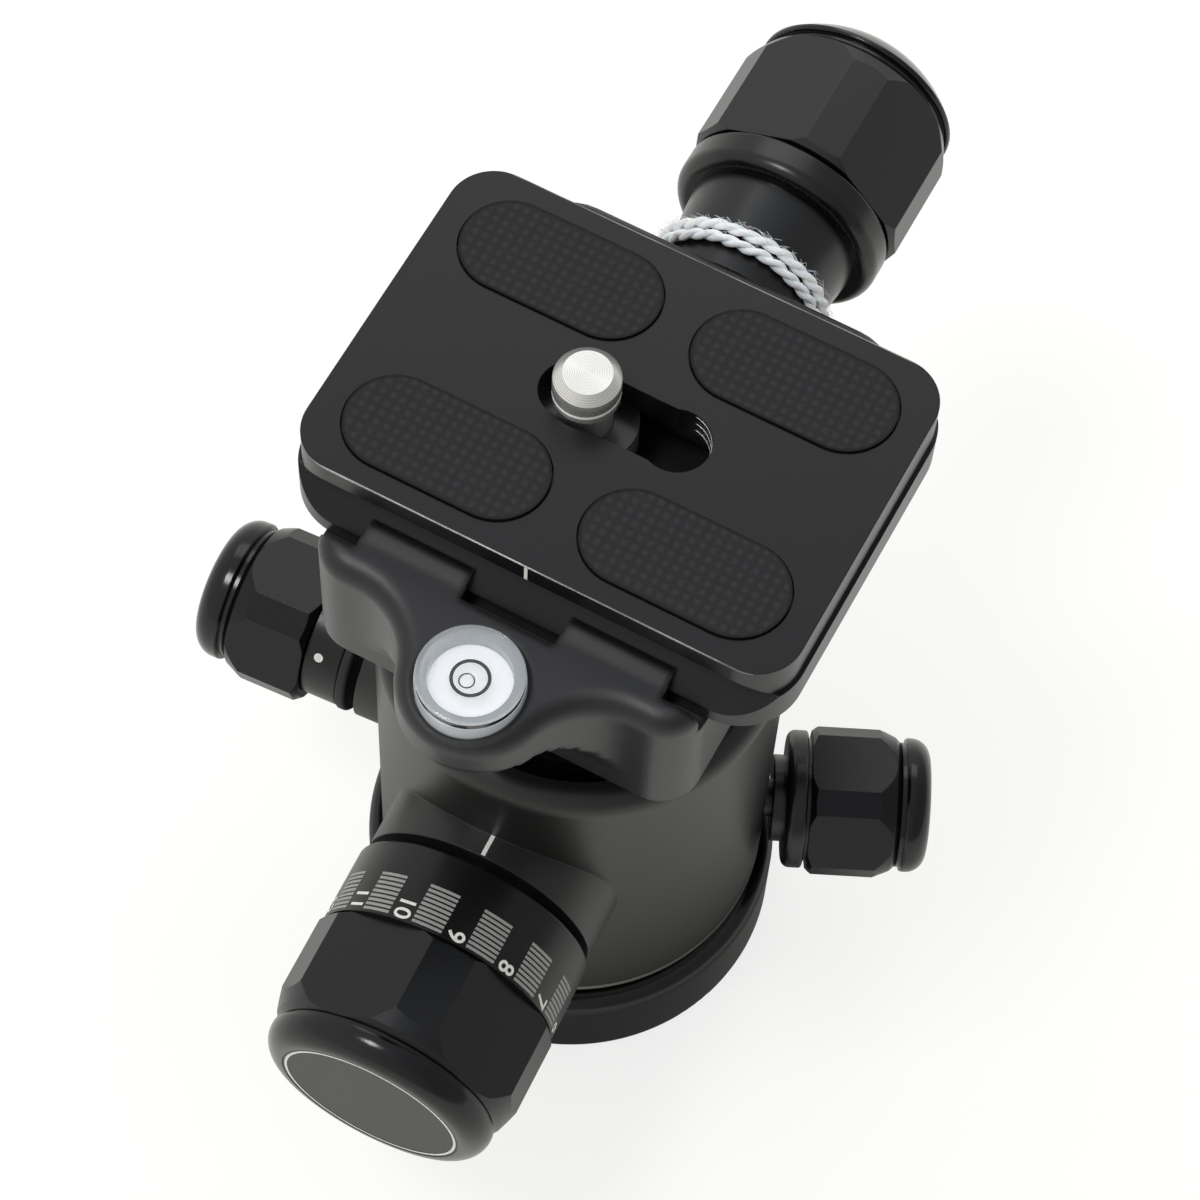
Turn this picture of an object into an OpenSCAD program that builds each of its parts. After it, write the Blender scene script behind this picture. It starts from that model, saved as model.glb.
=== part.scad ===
/* [Pan base] */
// Diameter of the base disc
base_d = 43.8; // [42.6:0.2:50]
// Height of the base disc
base_h = 11.2; // [10.6:0.1:14]
// Rounding of the base disc's upper edge
base_round = 1.6; // [0.8:0.1:3]
// Rounding of the base disc's lower edge
foot_round = 1.1; // [0.5:0.1:2]
// Wall radius of the hole tapped for a 3/8 inch stud
stud_r = 4; // [3.6:0.05:4.3]
// Depth of the tapped hole
stud_depth = 9.5; // [6:0.5:10]
// Diameter of the steel thread bush around the hole
bush_d = 15; // [12:0.5:18]
// Diameter of the pan spindle
spindle_d = 18; // [16:0.5:20]
// Thickness of the friction washer between base and housing
washer_t = 1; // [0.6:0.1:1.6]
// Diameter of the friction washer
washer_d = 38.6; // [34:0.2:39.6]
// Diameter of the disc that retains the spindle
retainer_d = 24; // [22:0.5:26]
// Thickness of the retaining disc
retainer_t = 2.4; // [1.6:0.1:3]
// Diameter of the circle on which the retainer screws stand
retainer_pcd = 12; // [10:0.5:13]
// Number of retainer screws
retainer_screws_n = 3; // [3:1:4]
// Diameter of the retainer screws' threads
retainer_screw_d = 2.5; // [2:0.1:3]
// Length of the retainer screws' threads below the disc
retainer_screw_l = 5.6; // [4:0.1:7]
// Diameter of the retainer screws' heads
retainer_head_d = 4.6; // [3.6:0.1:5]
// Height of the retainer screws' heads
retainer_head_h = 1.4; // [1:0.1:1.6]

/* [Housing] */
// Outer diameter of the housing
housing_d = 40.7; // [40:0.1:44]
// Height of the housing
housing_h = 47.3; // [46.5:0.1:50]
// Rounding of the housing's upper edge
rim_round = 2.4; // [1.8:0.1:2.6]
// Radial width of the polished chamfer at the housing's foot
foot_chamfer = 0.65; // [0.3:0.05:1]
// Height of the polished chamfer
foot_chamfer_h = 0.9; // [0.5:0.05:1.4]
// Wall thickness around the ball cavity
housing_wall = 2.65; // [2.2:0.05:3]
// Height of the insert that carries the spindle
insert_h = 14.6; // [14.4:0.1:15]
// Height of the spindle bore inside the insert
spindle_bore_h = 10.6; // [10.5:0.1:11]
// Width of the drop notch for the neck
notch_w = 13.2; // [13:0.1:14.5]
// Direction of the drop notch, seen from above
notch_angle = 110; // [106:1:114]
// Widest diameter of the flared mouth
mouth_d = 35.2; // [34:0.1:35.8]

/* [Ball and neck] */
// Diameter of the ball
ball_d = 33; // [32:0.1:33.4]
// Height of the ball's centre above the housing's foot
ball_up = 32.8; // [32.4:0.1:33.2]
// Clearance between the ball and its seats
seat_gap = 0.1; // [0.05:0.01:0.2]
// Height of the upper seat's edge above the ball's centre
lip_up = 8; // [7:0.1:9]
// Height of the upper seat's start above the ball's centre
seat_up = 2.5; // [1.5:0.1:4]
// Diameter of the neck
neck_d = 12.4; // [11.4:0.1:12.6]
// Distance from the ball's centre to the top of the neck
neck_reach = 24.8; // [24.6:0.1:27]
// Diameter of the hole in the cup that carries the ball
cup_hole_d = 12; // [10:0.5:13]
// Side clearance of the cup in its cavity
cup_gap = 0.3; // [0.2:0.05:0.5]
// Height of the disc spring under the cup
cup_spring_h = 1.2; // [1.1:0.1:1.4]
// Thickness of the disc spring
cup_spring_t = 0.6; // [0.4:0.05:0.8]

/* [Main lock knob] */
// Direction of the main knob, seen from above
main_angle = -87.5; // [-90:0.1:-84]
// Height of the main knob's axis above the housing's foot
main_up = 24.4; // [23.8:0.1:26]
// Diameter of the boss with the index line
main_boss_d = 24.6; // [22:0.2:25.4]
// Distance from the housing's axis to the boss's face
main_boss_s = 22.8; // [22.4:0.1:25]
// Gap between the boss and the dial sleeve
main_gap = 1.1; // [0.8:0.1:2]
// Diameter of the dial sleeve
dial_d = 25.4; // [23:0.2:26]
// Length of the dial sleeve
dial_l = 8.3; // [6:0.1:10]
// Wall of the dial sleeve
dial_wall = 3; // [1.5:0.1:4]
// Diameter over the corners of the main grip
main_grip_d = 26.2; // [25:0.1:28]
// Length of the main grip
main_grip_l = 10.8; // [8:0.1:16]
// Diameter of the main knob's cap
main_cap_d = 24.2; // [22:0.1:25]
// Length of the main knob's cap
main_cap_l = 3.3; // [3.1:0.1:6]
// Rounding of the cap's rim
main_cap_round = 2.4; // [1:0.1:2.5]
// Width of the groove beside the cap
cap_groove_w = 0.5; // [0.3:0.1:0.6]
// Depth of the groove beside the cap
cap_groove_depth = 0.5; // [0.2:0.1:1]
// Diameter of the grey disc let into the cap
face_disc_d = 19.2; // [14:0.1:19.3]
// Thickness of the grey disc
face_disc_t = 0.4; // [0.3:0.05:0.8]
// Turn of the main grip's facets about its own axis
main_facet_turn = -11; // [-36:1:36]
// Diameter of the threaded shaft
main_shaft_d = 8; // [6:0.1:9]
// Thread pitch of the main shaft
main_pitch = 1.25; // [0.5:0.05:1.5]
// Diameter of the brake shoe
shoe_d = 9.6; // [9.2:0.1:11]
// Distance from the ball's widest radius to the brake shoe's back
shoe_l = 3.4; // [3:0.1:3.6]

/* [Friction knob] */
// Direction of the friction knob, seen from above
friction_angle = 184; // [178:1:190]
// Height of the friction knob's axis above the housing's foot
friction_up = 21.6; // [20.5:0.1:22.5]
// Diameter of the friction boss
friction_boss_d = 14.6; // [13:0.1:16]
// Distance from the housing's axis to the friction boss's face
friction_boss_s = 22; // [21.6:0.1:23]
// Diameter of the dark seal ring
seal_d = 14.8; // [14:0.1:15.6]
// Width of the dark seal ring
seal_w = 1.2; // [0.8:0.1:1.6]
// Gap between the boss and the seal ring
seal_gap = 1; // [0.9:0.1:1.4]
// Diameter of the friction collar
collar_d = 14.4; // [13:0.1:15]
// Length of the friction collar
collar_l = 4; // [3:0.1:5]
// Diameter over the corners of the friction grip
friction_grip_d = 17; // [16:0.1:19]
// Length of the friction grip
friction_grip_l = 9; // [7:0.1:12]
// Diameter of the friction knob's cap
friction_cap_d = 15.2; // [13:0.1:16]
// Length of the friction knob's cap
friction_cap_l = 3.6; // [2.6:0.1:5]
// Rounding of the friction cap's rim
friction_cap_round = 2.2; // [1:0.1:2.6]
// Turn of the friction grip's facets about its own axis
friction_facet_turn = -31; // [-36:1:36]
// Diameter of the friction shaft
friction_shaft_d = 5; // [4:0.1:5.6]
// Diameter of the friction plug
plug_d = 6; // [5.8:0.1:7]
// Length of the friction plug inside the housing's wall
plug_l = 2; // [1.8:0.1:2.4]

/* [Pan lock knob] */
// Direction of the pan lock knob, seen from above
pan_lock_angle = 25.4; // [20:0.2:32]
// Height of the pan lock knob's axis above the housing's foot
pan_lock_up = 7.9; // [7.6:0.1:8.1]
// Diameter of the pan lock's stem
pan_stem_d = 9.2; // [8:0.1:10]
// Gap between the housing and the pan lock's stem
pan_stem_gap = 0.6; // [0.5:0.1:1.2]
// Distance from the housing's axis to the pan lock's ring
pan_ring_s = 22.3; // [21.8:0.1:24]
// Diameter of the pan lock's ring
pan_ring_d = 14.6; // [13:0.1:15.4]
// Width of the pan lock's ring
pan_ring_w = 2.2; // [1.6:0.1:3]
// Width of the groove between ring and grip
ring_groove_w = 0.4; // [0.3:0.1:0.8]
// Diameter over the corners of the pan lock grip
pan_grip_d = 15.8; // [15:0.1:18]
// Length of the pan lock grip
pan_grip_l = 9.5; // [7:0.1:12]
// Diameter of the pan lock knob's cap
pan_cap_d = 14.2; // [12:0.1:15]
// Length of the pan lock knob's cap
pan_cap_l = 3.1; // [2.4:0.1:5]
// Rounding of the pan lock cap's rim
pan_cap_round = 2; // [1:0.1:2.2]
// Turn of the pan lock grip's facets about its own axis
pan_facet_turn = 26.5; // [-36:0.5:36]
// Diameter of the pan lock shaft
pan_shaft_d = 4; // [3:0.1:4.4]
// Diameter of the brake pad on the spindle
pad_d = 4.8; // [4.6:0.1:5]
// Length of the brake pad
pad_l = 4; // [3:0.1:5]

/* [Grip facets] */
// Number of wide flats around every grip
facets = 5; // [4:1:6]
// Angle that each narrow facet spans
narrow_span = 20; // [12:1:28]
// Chamfer at the end edges of every grip
grip_chamfer = 0.6; // [0.3:0.1:0.9]
// Radial fall of every grip towards its cap
grip_taper = 0.8; // [0.2:0.1:1.2]
// Length over which a grip falls towards its cap
grip_taper_l = 2.4; // [1.4:0.1:4]

/* [Clamp] */
// Half width of the clamp body
clamp_hw = 19.6; // [18.6:0.1:20.6]
// Wall of the clamp body before the plate
front_wall = 4.1; // [3.3:0.1:4.6]
// Depth of the split between body and moving jaw behind the axis
clamp_split = 12; // [10:0.1:13]
// Gap at the split
split_gap = 0.6; // [0.3:0.1:1]
// Height of the clamp's floor above the neck
floor_h = 13.1; // [12.6:0.1:14]
// Gap between the clamp's floor and the plate
floor_gap = 0.2; // [0.1:0.05:0.4]
// Height of the jaw's top above the floor
jaw_h = 2.7; // [2.2:0.1:3.2]
// Height above the neck at which the lobe starts to swell out of the front
lip_h = 3.2; // [2:0.1:5]
// Height over which the lobe swells to its full size
lip_rise = 7; // [5:0.1:8]
// Fall of the jaw's top towards the lobe, per millimetre
jaw_fall = 0.1; // [0:0.01:0.12]
// Plan radius of the body's front corners
corner_r = 4; // [2.5:0.1:4.5]
// Rounding along the jaw's upper edge
jaw_round = 1.9; // [1:0.1:2.4]
// Radius of the lobe that carries the level
lobe_r = 7.6; // [7:0.1:8.2]
// Distance from the body's front face to the lobe's centre
lobe_out = 2.4; // [1.6:0.1:3]
// Radius of the hollow beside the lobe
hollow_r = 7.5; // [6.5:0.1:8]
// Half width of the middle notch
notch_mid = 4.8; // [3.5:0.1:6]
// Distance from the middle to the outer notches
notch_out = 15.6; // [14:0.1:16.4]
// Depth of the notches behind the jaw's inner wall
notch_depth = 1.3; // [0.8:0.1:1.6]
// Half width of the moving jaw
moving_hw = 19.45; // [18.4:0.05:20.4]
// Depth of the moving jaw's back face behind the axis
moving_back = 27.4; // [26.6:0.1:28.4]
// Wall of the moving jaw behind the plate
back_wall = 3.5; // [3.2:0.1:4.2]
// Plan radius of the moving jaw's back corners
moving_corner_r = 5.5; // [3:0.1:7]
// Travel of the moving jaw
jaw_travel = 4; // [2:0.1:5]
// Diameter of the guide pins
pin_d = 4; // [3:0.1:4.6]
// Distance from the middle to each guide pin
pin_x = 13; // [11:0.1:14]
// Height of the clamp screw and the guide pins above the neck
screw_up = 7.2; // [6.8:0.1:7.4]
// Wire-side wall of the return springs
spring_wall = 0.8; // [0.5:0.1:1]
// Depth of each return spring's pocket
pocket_depth = 4; // [3:0.1:5]
// Diameter of the countersunk screw in the neck
neck_screw_d = 5; // [4:0.1:6]
// Head diameter of the countersunk screw
neck_screw_head = 9.6; // [8:0.1:11]
// Length of the countersunk screw
neck_screw_l = 22; // [18:0.5:26]

/* [Clamp knob] */
// Diameter of the clamp screw
clamp_screw_d = 6; // [5:0.1:6.4]
// Diameter of the knob's neck at the jaw
knob_neck_d0 = 15.2; // [14:0.1:16]
// Diameter of the knob's neck at the ring
knob_neck_d1 = 17.5; // [16:0.1:18.5]
// Length of the knob's neck
knob_neck_l = 9.8; // [8:0.1:12]
// Gap between the moving jaw and the knob's neck
knob_gap = 0.2; // [0.1:0.05:0.4]
// Diameter of the knob's ring
knob_ring_d = 21.6; // [20:0.1:22.4]
// Width of the knob's ring
knob_ring_w = 3.6; // [2.4:0.1:5]
// Diameter over the corners of the clamp grip
clamp_grip_d = 22.6; // [21:0.1:24]
// Length of the clamp grip
clamp_grip_l = 13.3; // [10:0.1:18]
// Diameter of the clamp knob's domed cap
clamp_cap_d = 20.8; // [18:0.1:21.4]
// Length of the domed cap
clamp_cap_l = 5.9; // [4.6:0.1:7]
// Rounding of the domed cap's rim
clamp_cap_round = 2; // [1:0.1:2.6]
// Radius of the dome at the cap's end
clamp_dome_r = 13.5; // [12:0.1:20]
// Turn of the clamp grip's facets about its own axis
clamp_facet_turn = 30; // [-36:1:36]
// Diameter of the string tied round the neck
string_d = 1.1; // [0.8:0.05:1.3]
// Distance from the jaw to the string's first turn
string_start = 1.7; // [1:0.1:4]
// Spacing of the string's two turns
string_step = 1.3; // [1.2:0.05:1.6]

/* [Level] */
// Diameter of the level's cup
level_d = 10.2; // [9:0.1:11]
// Height of the level's cup
level_cup_h = 4.6; // [4:0.1:5]
// Wall of the level's cup
level_wall = 0.9; // [0.5:0.1:1.2]
// Thickness of the cup's bottom
level_floor = 3.9; // [3:0.1:4]
// Thickness of the lens
lens_t = 0.8; // [0.5:0.1:1.2]
// Thickness of the white disc
level_disc_t = 0.4; // [0.2:0.05:0.6]
// Height of the lens's top above the lobe
level_proud = 1.6; // [1:0.1:2.4]
// Distance from the lobe's centre to the level's centre
level_offset = 1.5; // [0.5:0.1:1.8]

/* [Quick-release plate] */
// Length of the plate's top
plate_l = 50; // [46:0.5:56]
// Width of the plate's top
plate_w = 35.65; // [34.6:0.05:36.6]
// Length of the plate's bottom
plate_low_l = 50.7; // [46:0.1:56.6]
// Width of the dovetail at the plate's bottom
dovetail_w = 38.1; // [37.8:0.05:38.4]
// Depth of the dovetail groove on each side
groove_depth = 2.95; // [2.7:0.05:3.2]
// Thickness of the plate
plate_t = 9; // [8.8:0.1:9.4]
// Height of the straight wall at the plate's bottom
low_wall = 1.7; // [1.5:0.05:1.9]
// Height of the straight wall at the plate's top
top_wall = 2.25; // [1.8:0.05:2.6]
// Height of the groove's root above the plate's bottom
groove_up = 4.25; // [4.1:0.05:4.4]
// Plan radius of the plate's top corners
plate_corner = 4.6; // [3:0.1:6]
// Plan radius of the plate's bottom corners
plate_low_corner = 6.1; // [4:0.1:7]
// Sideways place of the plate in the clamp
plate_x = 0.4; // [-1:0.1:1]
// Length of the screw slot
slot_l = 16.8; // [14:0.1:18]
// Width of the screw slot
slot_w = 6; // [5.6:0.1:6.2]
// Sideways place of the slot's middle on the plate
slot_x = 0.2; // [-1:0.1:1]
// Thickness of the plate over the screw's channel
slot_t = 3.5; // [3:0.1:4]
// Width of the screw's channel under the plate
channel_w = 10.6; // [10.2:0.1:10.8]
// Length of each rubber pad
pad_len = 20.1; // [16:0.1:21]
// Width of each rubber pad
pad_w = 9.75; // [7:0.05:10]
// Height that the pads stand above the plate
pad_proud = 0.25; // [0.1:0.05:0.6]
// Depth of the pads' recesses
pad_sink = 0.8; // [0.4:0.1:1.2]
// Sideways distance from the plate's middle to a pad's middle
pad_x = 12.05; // [11.5:0.05:12.6]
// Distance across the plate from its middle to a pad's middle
pad_y = 10.7; // [10.2:0.1:11.2]
// Diameter of the camera screw's thread
camera_d = 6.35; // [6.2:0.05:6.5]
// Height that the camera screw stands above the plate
camera_proud = 4.4; // [3.6:0.1:5.5]
// Diameter of the camera screw's relieved neck
camera_neck_d = 5.2; // [4.6:0.1:5.4]
// Height of the relieved neck above the plate
camera_relief = 0.7; // [0.4:0.1:1.2]
// Diameter of the camera screw's head
camera_head_d = 10; // [9:0.1:10.1]
// Height of the camera screw's head
camera_head_h = 3.6; // [3:0.1:3.8]
// Sideways place of the camera screw from the plate's middle
camera_x = -3.6; // [-4.6:0.1:2]
// Thickness of the washer under the camera screw's head
camera_washer_t = 0.4; // [0.3:0.05:0.6]
// Distance from the plate's middle to each stop screw
stop_x = 23; // [22.6:0.1:23.2]
// Diameter of the stop screws' heads
stop_d = 3; // [2:0.1:3.2]
// Height that the stop screws stand below the plate
stop_h = 1.2; // [0.8:0.1:1.6]

/* [Hidden] */
$fn = 64;

// radial clearance of every turning or sliding fit
fit = 0.05;
// clearances of the plate in the clamp: at the fixed jaw, at the moving jaw, over the flanks
fixed_gap = 0.2;
moving_gap = 0.1;
flank_gap = 0.08;
// gap between the spindle's end and the floor of its bore
spindle_gap = 0.2;
// overlap that cutters reach past the faces they open
past = 1;
// how far the turned outline that trims a faceted grip stands outside its corners
trim_over = 0.05;

// heights, counted from the surface that the head stands on
housing_z = base_h + washer_t;
rim_z = housing_z + housing_h;
ball_z = housing_z + ball_up;
clamp_z = ball_z + neck_reach;
floor_z = clamp_z + floor_h;
plate_z = floor_z + floor_gap;
plate_top = plate_z + plate_t;
screw_z = clamp_z + screw_up;
jaw_top = floor_z + jaw_h;

// radii of the housing and of what it holds
housing_r = housing_d / 2;
cavity_r = housing_r - housing_wall;
seat_r = ball_d / 2 + seat_gap;
mouth_low_r = sqrt(pow(seat_r, 2) - pow(lip_up, 2));
insert_top = housing_z + insert_h;
ledge_z = housing_z + spindle_bore_h;
spindle_top = ledge_z + spindle_gap;
retainer_top = spindle_top + retainer_t;
cup_z = insert_top + cup_spring_h;
cup_top = housing_z + friction_up - plug_d / 2 - cup_gap;

// places along the main knob's axis, counted from the housing's axis
shoe_s = ball_d / 2 + shoe_l;
shoe_bore_s = shoe_s + main_pitch + 0.25;
dial_s = main_boss_s + main_gap;
main_grip_s = dial_s + dial_l;
main_cap_s = main_grip_s + main_grip_l;
main_end_s = main_cap_s + main_cap_l;
hub_r = dial_d / 2 - dial_wall;

// places along the friction knob's axis
plug_back_s = cavity_r + plug_l;
plug_bore_s = plug_back_s + 0.9;
seal_s = friction_boss_s + seal_gap;
collar_s = seal_s + seal_w;
friction_grip_s = collar_s + collar_l;
friction_cap_s = friction_grip_s + friction_grip_l;

// places along the pan lock knob's axis
pad_s = spindle_d / 2 + fit;
pad_back_s = pad_s + pad_l;
pad_bore_s = pad_back_s + 0.9;
pan_grip_s = pan_ring_s + pan_ring_w + ring_groove_w;
pan_cap_s = pan_grip_s + pan_grip_l;

// places along the clamp knob's axis
knob_neck_y = moving_back + knob_gap;
knob_ring_y = knob_neck_y + knob_neck_l;
clamp_grip_y = knob_ring_y + knob_ring_w + ring_groove_w;
clamp_cap_y = clamp_grip_y + clamp_grip_l;
moving_front = clamp_split + split_gap;
spring_r = pin_d / 2 + 0.3;

// places of the plate and of what it carries
dovetail_half = dovetail_w / 2;
groove_half = dovetail_half - groove_depth;
flank_slope = (groove_up - low_wall) / groove_depth;
plate_y = moving_back - back_wall - moving_gap - dovetail_half;
jaw_wall_y = plate_y - dovetail_half - fixed_gap;
clamp_front = front_wall - jaw_wall_y;
lobe_y = clamp_front + lobe_out;
tab_reach = 1.6;
camera_head_z = plate_top - slot_t - camera_washer_t - camera_head_h;

// points of an arc round c, from angle a to angle b
function arc(c, r, a, b, n) =
    [for (i = [0:n]) c + r * [cos(a + (b - a) * i / n), sin(a + (b - a) * i / n)]];
// a list of points taken the other way round
function turned_round(points) = [for (i = [len(points) - 1:-1:0]) points[i]];
// points mirrored across the middle plane, in the other order
function mirrored(points) = [for (p = turned_round(points)) [-p[0], p[1]]];
// a flat ring of points set at a height
function at_height(points, z) = [for (p = points) [p[0], p[1], z]];

// puts children, built along +Z, on a knob axis that leaves the housing sideways
module on_axis(angle, up) {
    rotate([0, 0, angle]) translate([0, 0, housing_z + up]) rotate([0, 90, 0]) children();
}

// puts children, built along +Z, on the clamp screw's axis, which runs to the back
module on_clamp_axis(x = 0) {
    translate([x, 0, screw_z]) rotate([-90, 0, 0]) children();
}

// a straight round bar from one height to another
module bar(r, from, to) {
    translate([0, 0, from]) cylinder(h = to - from, r = r);
}

// half section of a turned ring, with rounded outer corners
module ring_section(inner, outer, low, high, round_low, round_high) {
    middle = (low + high) / 2;
    translate([inner, low]) square([outer - inner - round_low, middle - low]);
    translate([inner, middle]) square([outer - inner - round_high, high - middle]);
    translate([inner, low + round_low]) square([outer - inner, high - low - round_low - round_high]);
    intersection() {
        translate([inner, low]) square([outer - inner, high - low]);
        union() {
            translate([outer - round_low, low + round_low]) circle(round_low);
            translate([outer - round_high, high - round_high]) circle(round_high);
        }
    }
}

module turned_ring(inner, outer, low, high, round_low, round_high) {
    rotate_extrude() ring_section(inner, outer, low, high, round_low, round_high);
}

// a faceted grip: wide flats and narrow facets between them, chamfered at both ends
module grip(d, from, length, turn, bore) {
    step = 360 / facets;
    corners = [for (i = [0:facets - 1]) for (side = [-1, 1]) 180 + i * step + turn + side * narrow_span / 2];
    reach = d / 2;
    outer = reach + trim_over;
    taper_from = length - grip_taper_l - trim_over * (grip_taper_l - grip_chamfer) / grip_taper;
    difference() {
        intersection() {
            translate([0, 0, from]) linear_extrude(length)
                polygon([for (a = corners) reach * [cos(a), sin(a)]]);
            translate([0, 0, from]) rotate_extrude()
                polygon([[0, 0], [reach - grip_chamfer, 0], [outer, grip_chamfer + trim_over],
                         [outer, taper_from], [reach - grip_taper, length - grip_chamfer],
                         [reach - grip_taper - grip_chamfer, length], [0, length]]);
        }
        bar(bore, from - past, from + length - grip_chamfer * 2);
    }
}

// a knob's end cap: a groove beside the grip, then a disc with a rounded rim
module knob_cap(d, from, length, rim) {
    bar(d / 2 - cap_groove_depth, from, from + cap_groove_w);
    turned_ring(0, d / 2, from + cap_groove_w, from + length, 0.3, rim);
}

// a rectangle with round corners, in plan
module round_rect(l, w, r) {
    square([l - 2 * r, w], center = true);
    square([l, w - 2 * r], center = true);
    for (x = [-1, 1]) for (y = [-1, 1])
        translate([x * (l / 2 - r), y * (w / 2 - r)]) circle(r);
}

// a slot with fully round ends, in plan
module stadium(l, w) {
    square([l - w, w], center = true);
    for (x = [-1, 1]) translate([x * (l - w) / 2, 0]) circle(w / 2);
}

// a closed solid through a stack of rings that have equally many points
module loft(rings) {
    n = len(rings[0]);
    last = len(rings) - 1;
    polyhedron(
        points = [for (ring = rings) for (p = ring) p],
        faces = concat(
            [[for (i = [0:n - 1]) i]],
            [[for (i = [n - 1:-1:0]) last * n + i]],
            [for (k = [0:last - 1]) for (i = [0:n - 1])
                [k * n + i, (k + 1) * n + i, (k + 1) * n + (i + 1) % n]],
            [for (k = [0:last - 1]) for (i = [0:n - 1])
                [k * n + i, (k + 1) * n + (i + 1) % n, k * n + (i + 1) % n]]));
}

module pan_base() {
    color("#2b2b2d") difference() {
        union() {
            turned_ring(0, base_d / 2, 0, base_h, foot_round, base_round);
            bar(spindle_d / 2, base_h, spindle_top);
        }
        bar(bush_d / 2, -past, stud_depth + 0.5);
        retainer_holes();
    }
}

// the screws' tapped holes in the spindle
module retainer_holes() {
    for (i = [0:retainer_screws_n - 1]) rotate([0, 0, 360 * i / retainer_screws_n])
        translate([retainer_pcd / 2, 0, 0])
            bar(retainer_screw_d / 2, spindle_top - retainer_screw_l - spindle_gap, retainer_top + past);
}

module thread_bush() {
    color("#b9b9b6") difference() {
        bar(bush_d / 2, 0, stud_depth + 0.5);
        bar(stud_r, -past, stud_depth);
    }
}

module spindle_retainer() {
    color("#b0b0ad") difference() {
        bar(retainer_d / 2, spindle_top, retainer_top);
        retainer_holes();
    }
}

module retainer_screws() {
    color("#8d8d8a") for (i = [0:retainer_screws_n - 1]) rotate([0, 0, 360 * i / retainer_screws_n])
        translate([retainer_pcd / 2, 0, 0]) {
            bar(retainer_screw_d / 2, spindle_top - retainer_screw_l, retainer_top);
            difference() {
                bar(retainer_head_d / 2, retainer_top, retainer_top + retainer_head_h);
                translate([0, 0, retainer_top + retainer_head_h / 2])
                    cylinder(h = retainer_head_h, r = retainer_head_d / 4, $fn = 6);
            }
        }
}

module friction_washer() {
    color("#1a1a1b") difference() {
        bar(washer_d / 2, base_h, housing_z);
        bar(spindle_d / 2 + fit, base_h - past, housing_z + past);
    }
}

// outside of the housing's turned wall
module housing_outside() {
    rotate_extrude() {
        translate([0, foot_chamfer_h])
            ring_section(0, housing_r, housing_z, rim_z - foot_chamfer_h, 0, rim_round);
        polygon([[0, housing_z], [housing_r - foot_chamfer, housing_z],
                 [housing_r, housing_z + foot_chamfer_h], [0, housing_z + foot_chamfer_h]]);
    }
}

// space inside the housing: cavity, ball seat and flared mouth
module housing_inside() {
    bar(cavity_r, housing_z - past, ball_z + seat_up);
    translate([0, 0, ball_z]) sphere(seat_r);
    rotate_extrude() polygon([[0, ball_z], [mouth_low_r, ball_z + lip_up], [mouth_d / 2, rim_z],
                              [mouth_d / 2, rim_z + past], [0, rim_z + past]]);
}

// slot through the wall that lets the neck drop to the horizontal
module drop_notch() {
    rotate([0, 0, notch_angle]) {
        translate([ball_d / 4, -notch_w / 2, ball_z]) cube([housing_d, notch_w, housing_h]);
        translate([ball_d / 4, 0, ball_z]) rotate([0, 90, 0]) cylinder(h = housing_d, d = notch_w);
    }
}

module housing() {
    color("#50504e") difference() {
        union() {
            housing_outside();
            on_axis(main_angle, main_up) bar(main_boss_d / 2, housing_r / 2, main_boss_s);
            on_axis(friction_angle, friction_up) bar(friction_boss_d / 2, housing_r / 2, friction_boss_s);
        }
        housing_inside();
        drop_notch();
        on_axis(main_angle, main_up) {
            bar(shoe_d / 2 + fit, 0, shoe_bore_s);
            bar(main_shaft_d / 2 + fit, 0, main_boss_s + past);
        }
        on_axis(friction_angle, friction_up) {
            bar(plug_d / 2 + fit, 0, plug_bore_s);
            bar(friction_shaft_d / 2 + fit, 0, friction_boss_s + past);
        }
        on_axis(pan_lock_angle, pan_lock_up) bar(pan_shaft_d / 2 + fit, 0, housing_d);
    }
}

module spindle_insert() {
    color("#9a9a97") difference() {
        bar(cavity_r, housing_z, insert_top);
        bar(spindle_d / 2 + fit, housing_z - past, ledge_z + past);
        bar(retainer_d / 2 + 0.5, ledge_z, insert_top + past);
        on_axis(pan_lock_angle, pan_lock_up) {
            bar(pad_d / 2 + fit, 0, pad_bore_s);
            bar(pan_shaft_d / 2 + fit, 0, housing_d);
        }
    }
}

module cup_spring() {
    outer = cavity_r - cup_gap;
    inner = retainer_d / 2 + 1.4;
    color("#a8a8a4") rotate_extrude()
        polygon([[outer, insert_top], [outer, insert_top + cup_spring_t],
                 [inner, cup_z], [inner, cup_z - cup_spring_t]]);
}

module ball_cup() {
    color("#dcdad2") difference() {
        bar(cavity_r - cup_gap, cup_z, cup_top);
        bar(cup_hole_d / 2, cup_z - past, cup_top + past);
        translate([0, 0, ball_z]) sphere(seat_r);
    }
}

module ball() {
    color("#c9c9c6") difference() {
        union() {
            translate([0, 0, ball_z]) sphere(d = ball_d);
            bar(neck_d / 2, ball_z, clamp_z);
        }
        bar(neck_screw_d / 2 + fit, floor_z - neck_screw_l - past, clamp_z + past);
    }
}

module brake_shoe() {
    color("#e3dfd2") difference() {
        on_axis(main_angle, main_up) bar(shoe_d / 2, ball_d / 4, shoe_s);
        translate([0, 0, ball_z]) sphere(seat_r);
        on_axis(main_angle, main_up) bar(main_shaft_d / 4 + fit, shoe_s - 1.8, shoe_s + past);
    }
}

module main_shaft() {
    color("#b4b4b1") on_axis(main_angle, main_up) {
        bar(main_shaft_d / 4, shoe_s - 1.7, shoe_s);
        bar(main_shaft_d / 2, shoe_s, main_cap_s - grip_chamfer * 2);
    }
}

module dial_sleeve() {
    color("#242426") on_axis(main_angle, main_up)
        turned_ring(hub_r, dial_d / 2, dial_s, main_grip_s, 0.3, 0);
}

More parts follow.
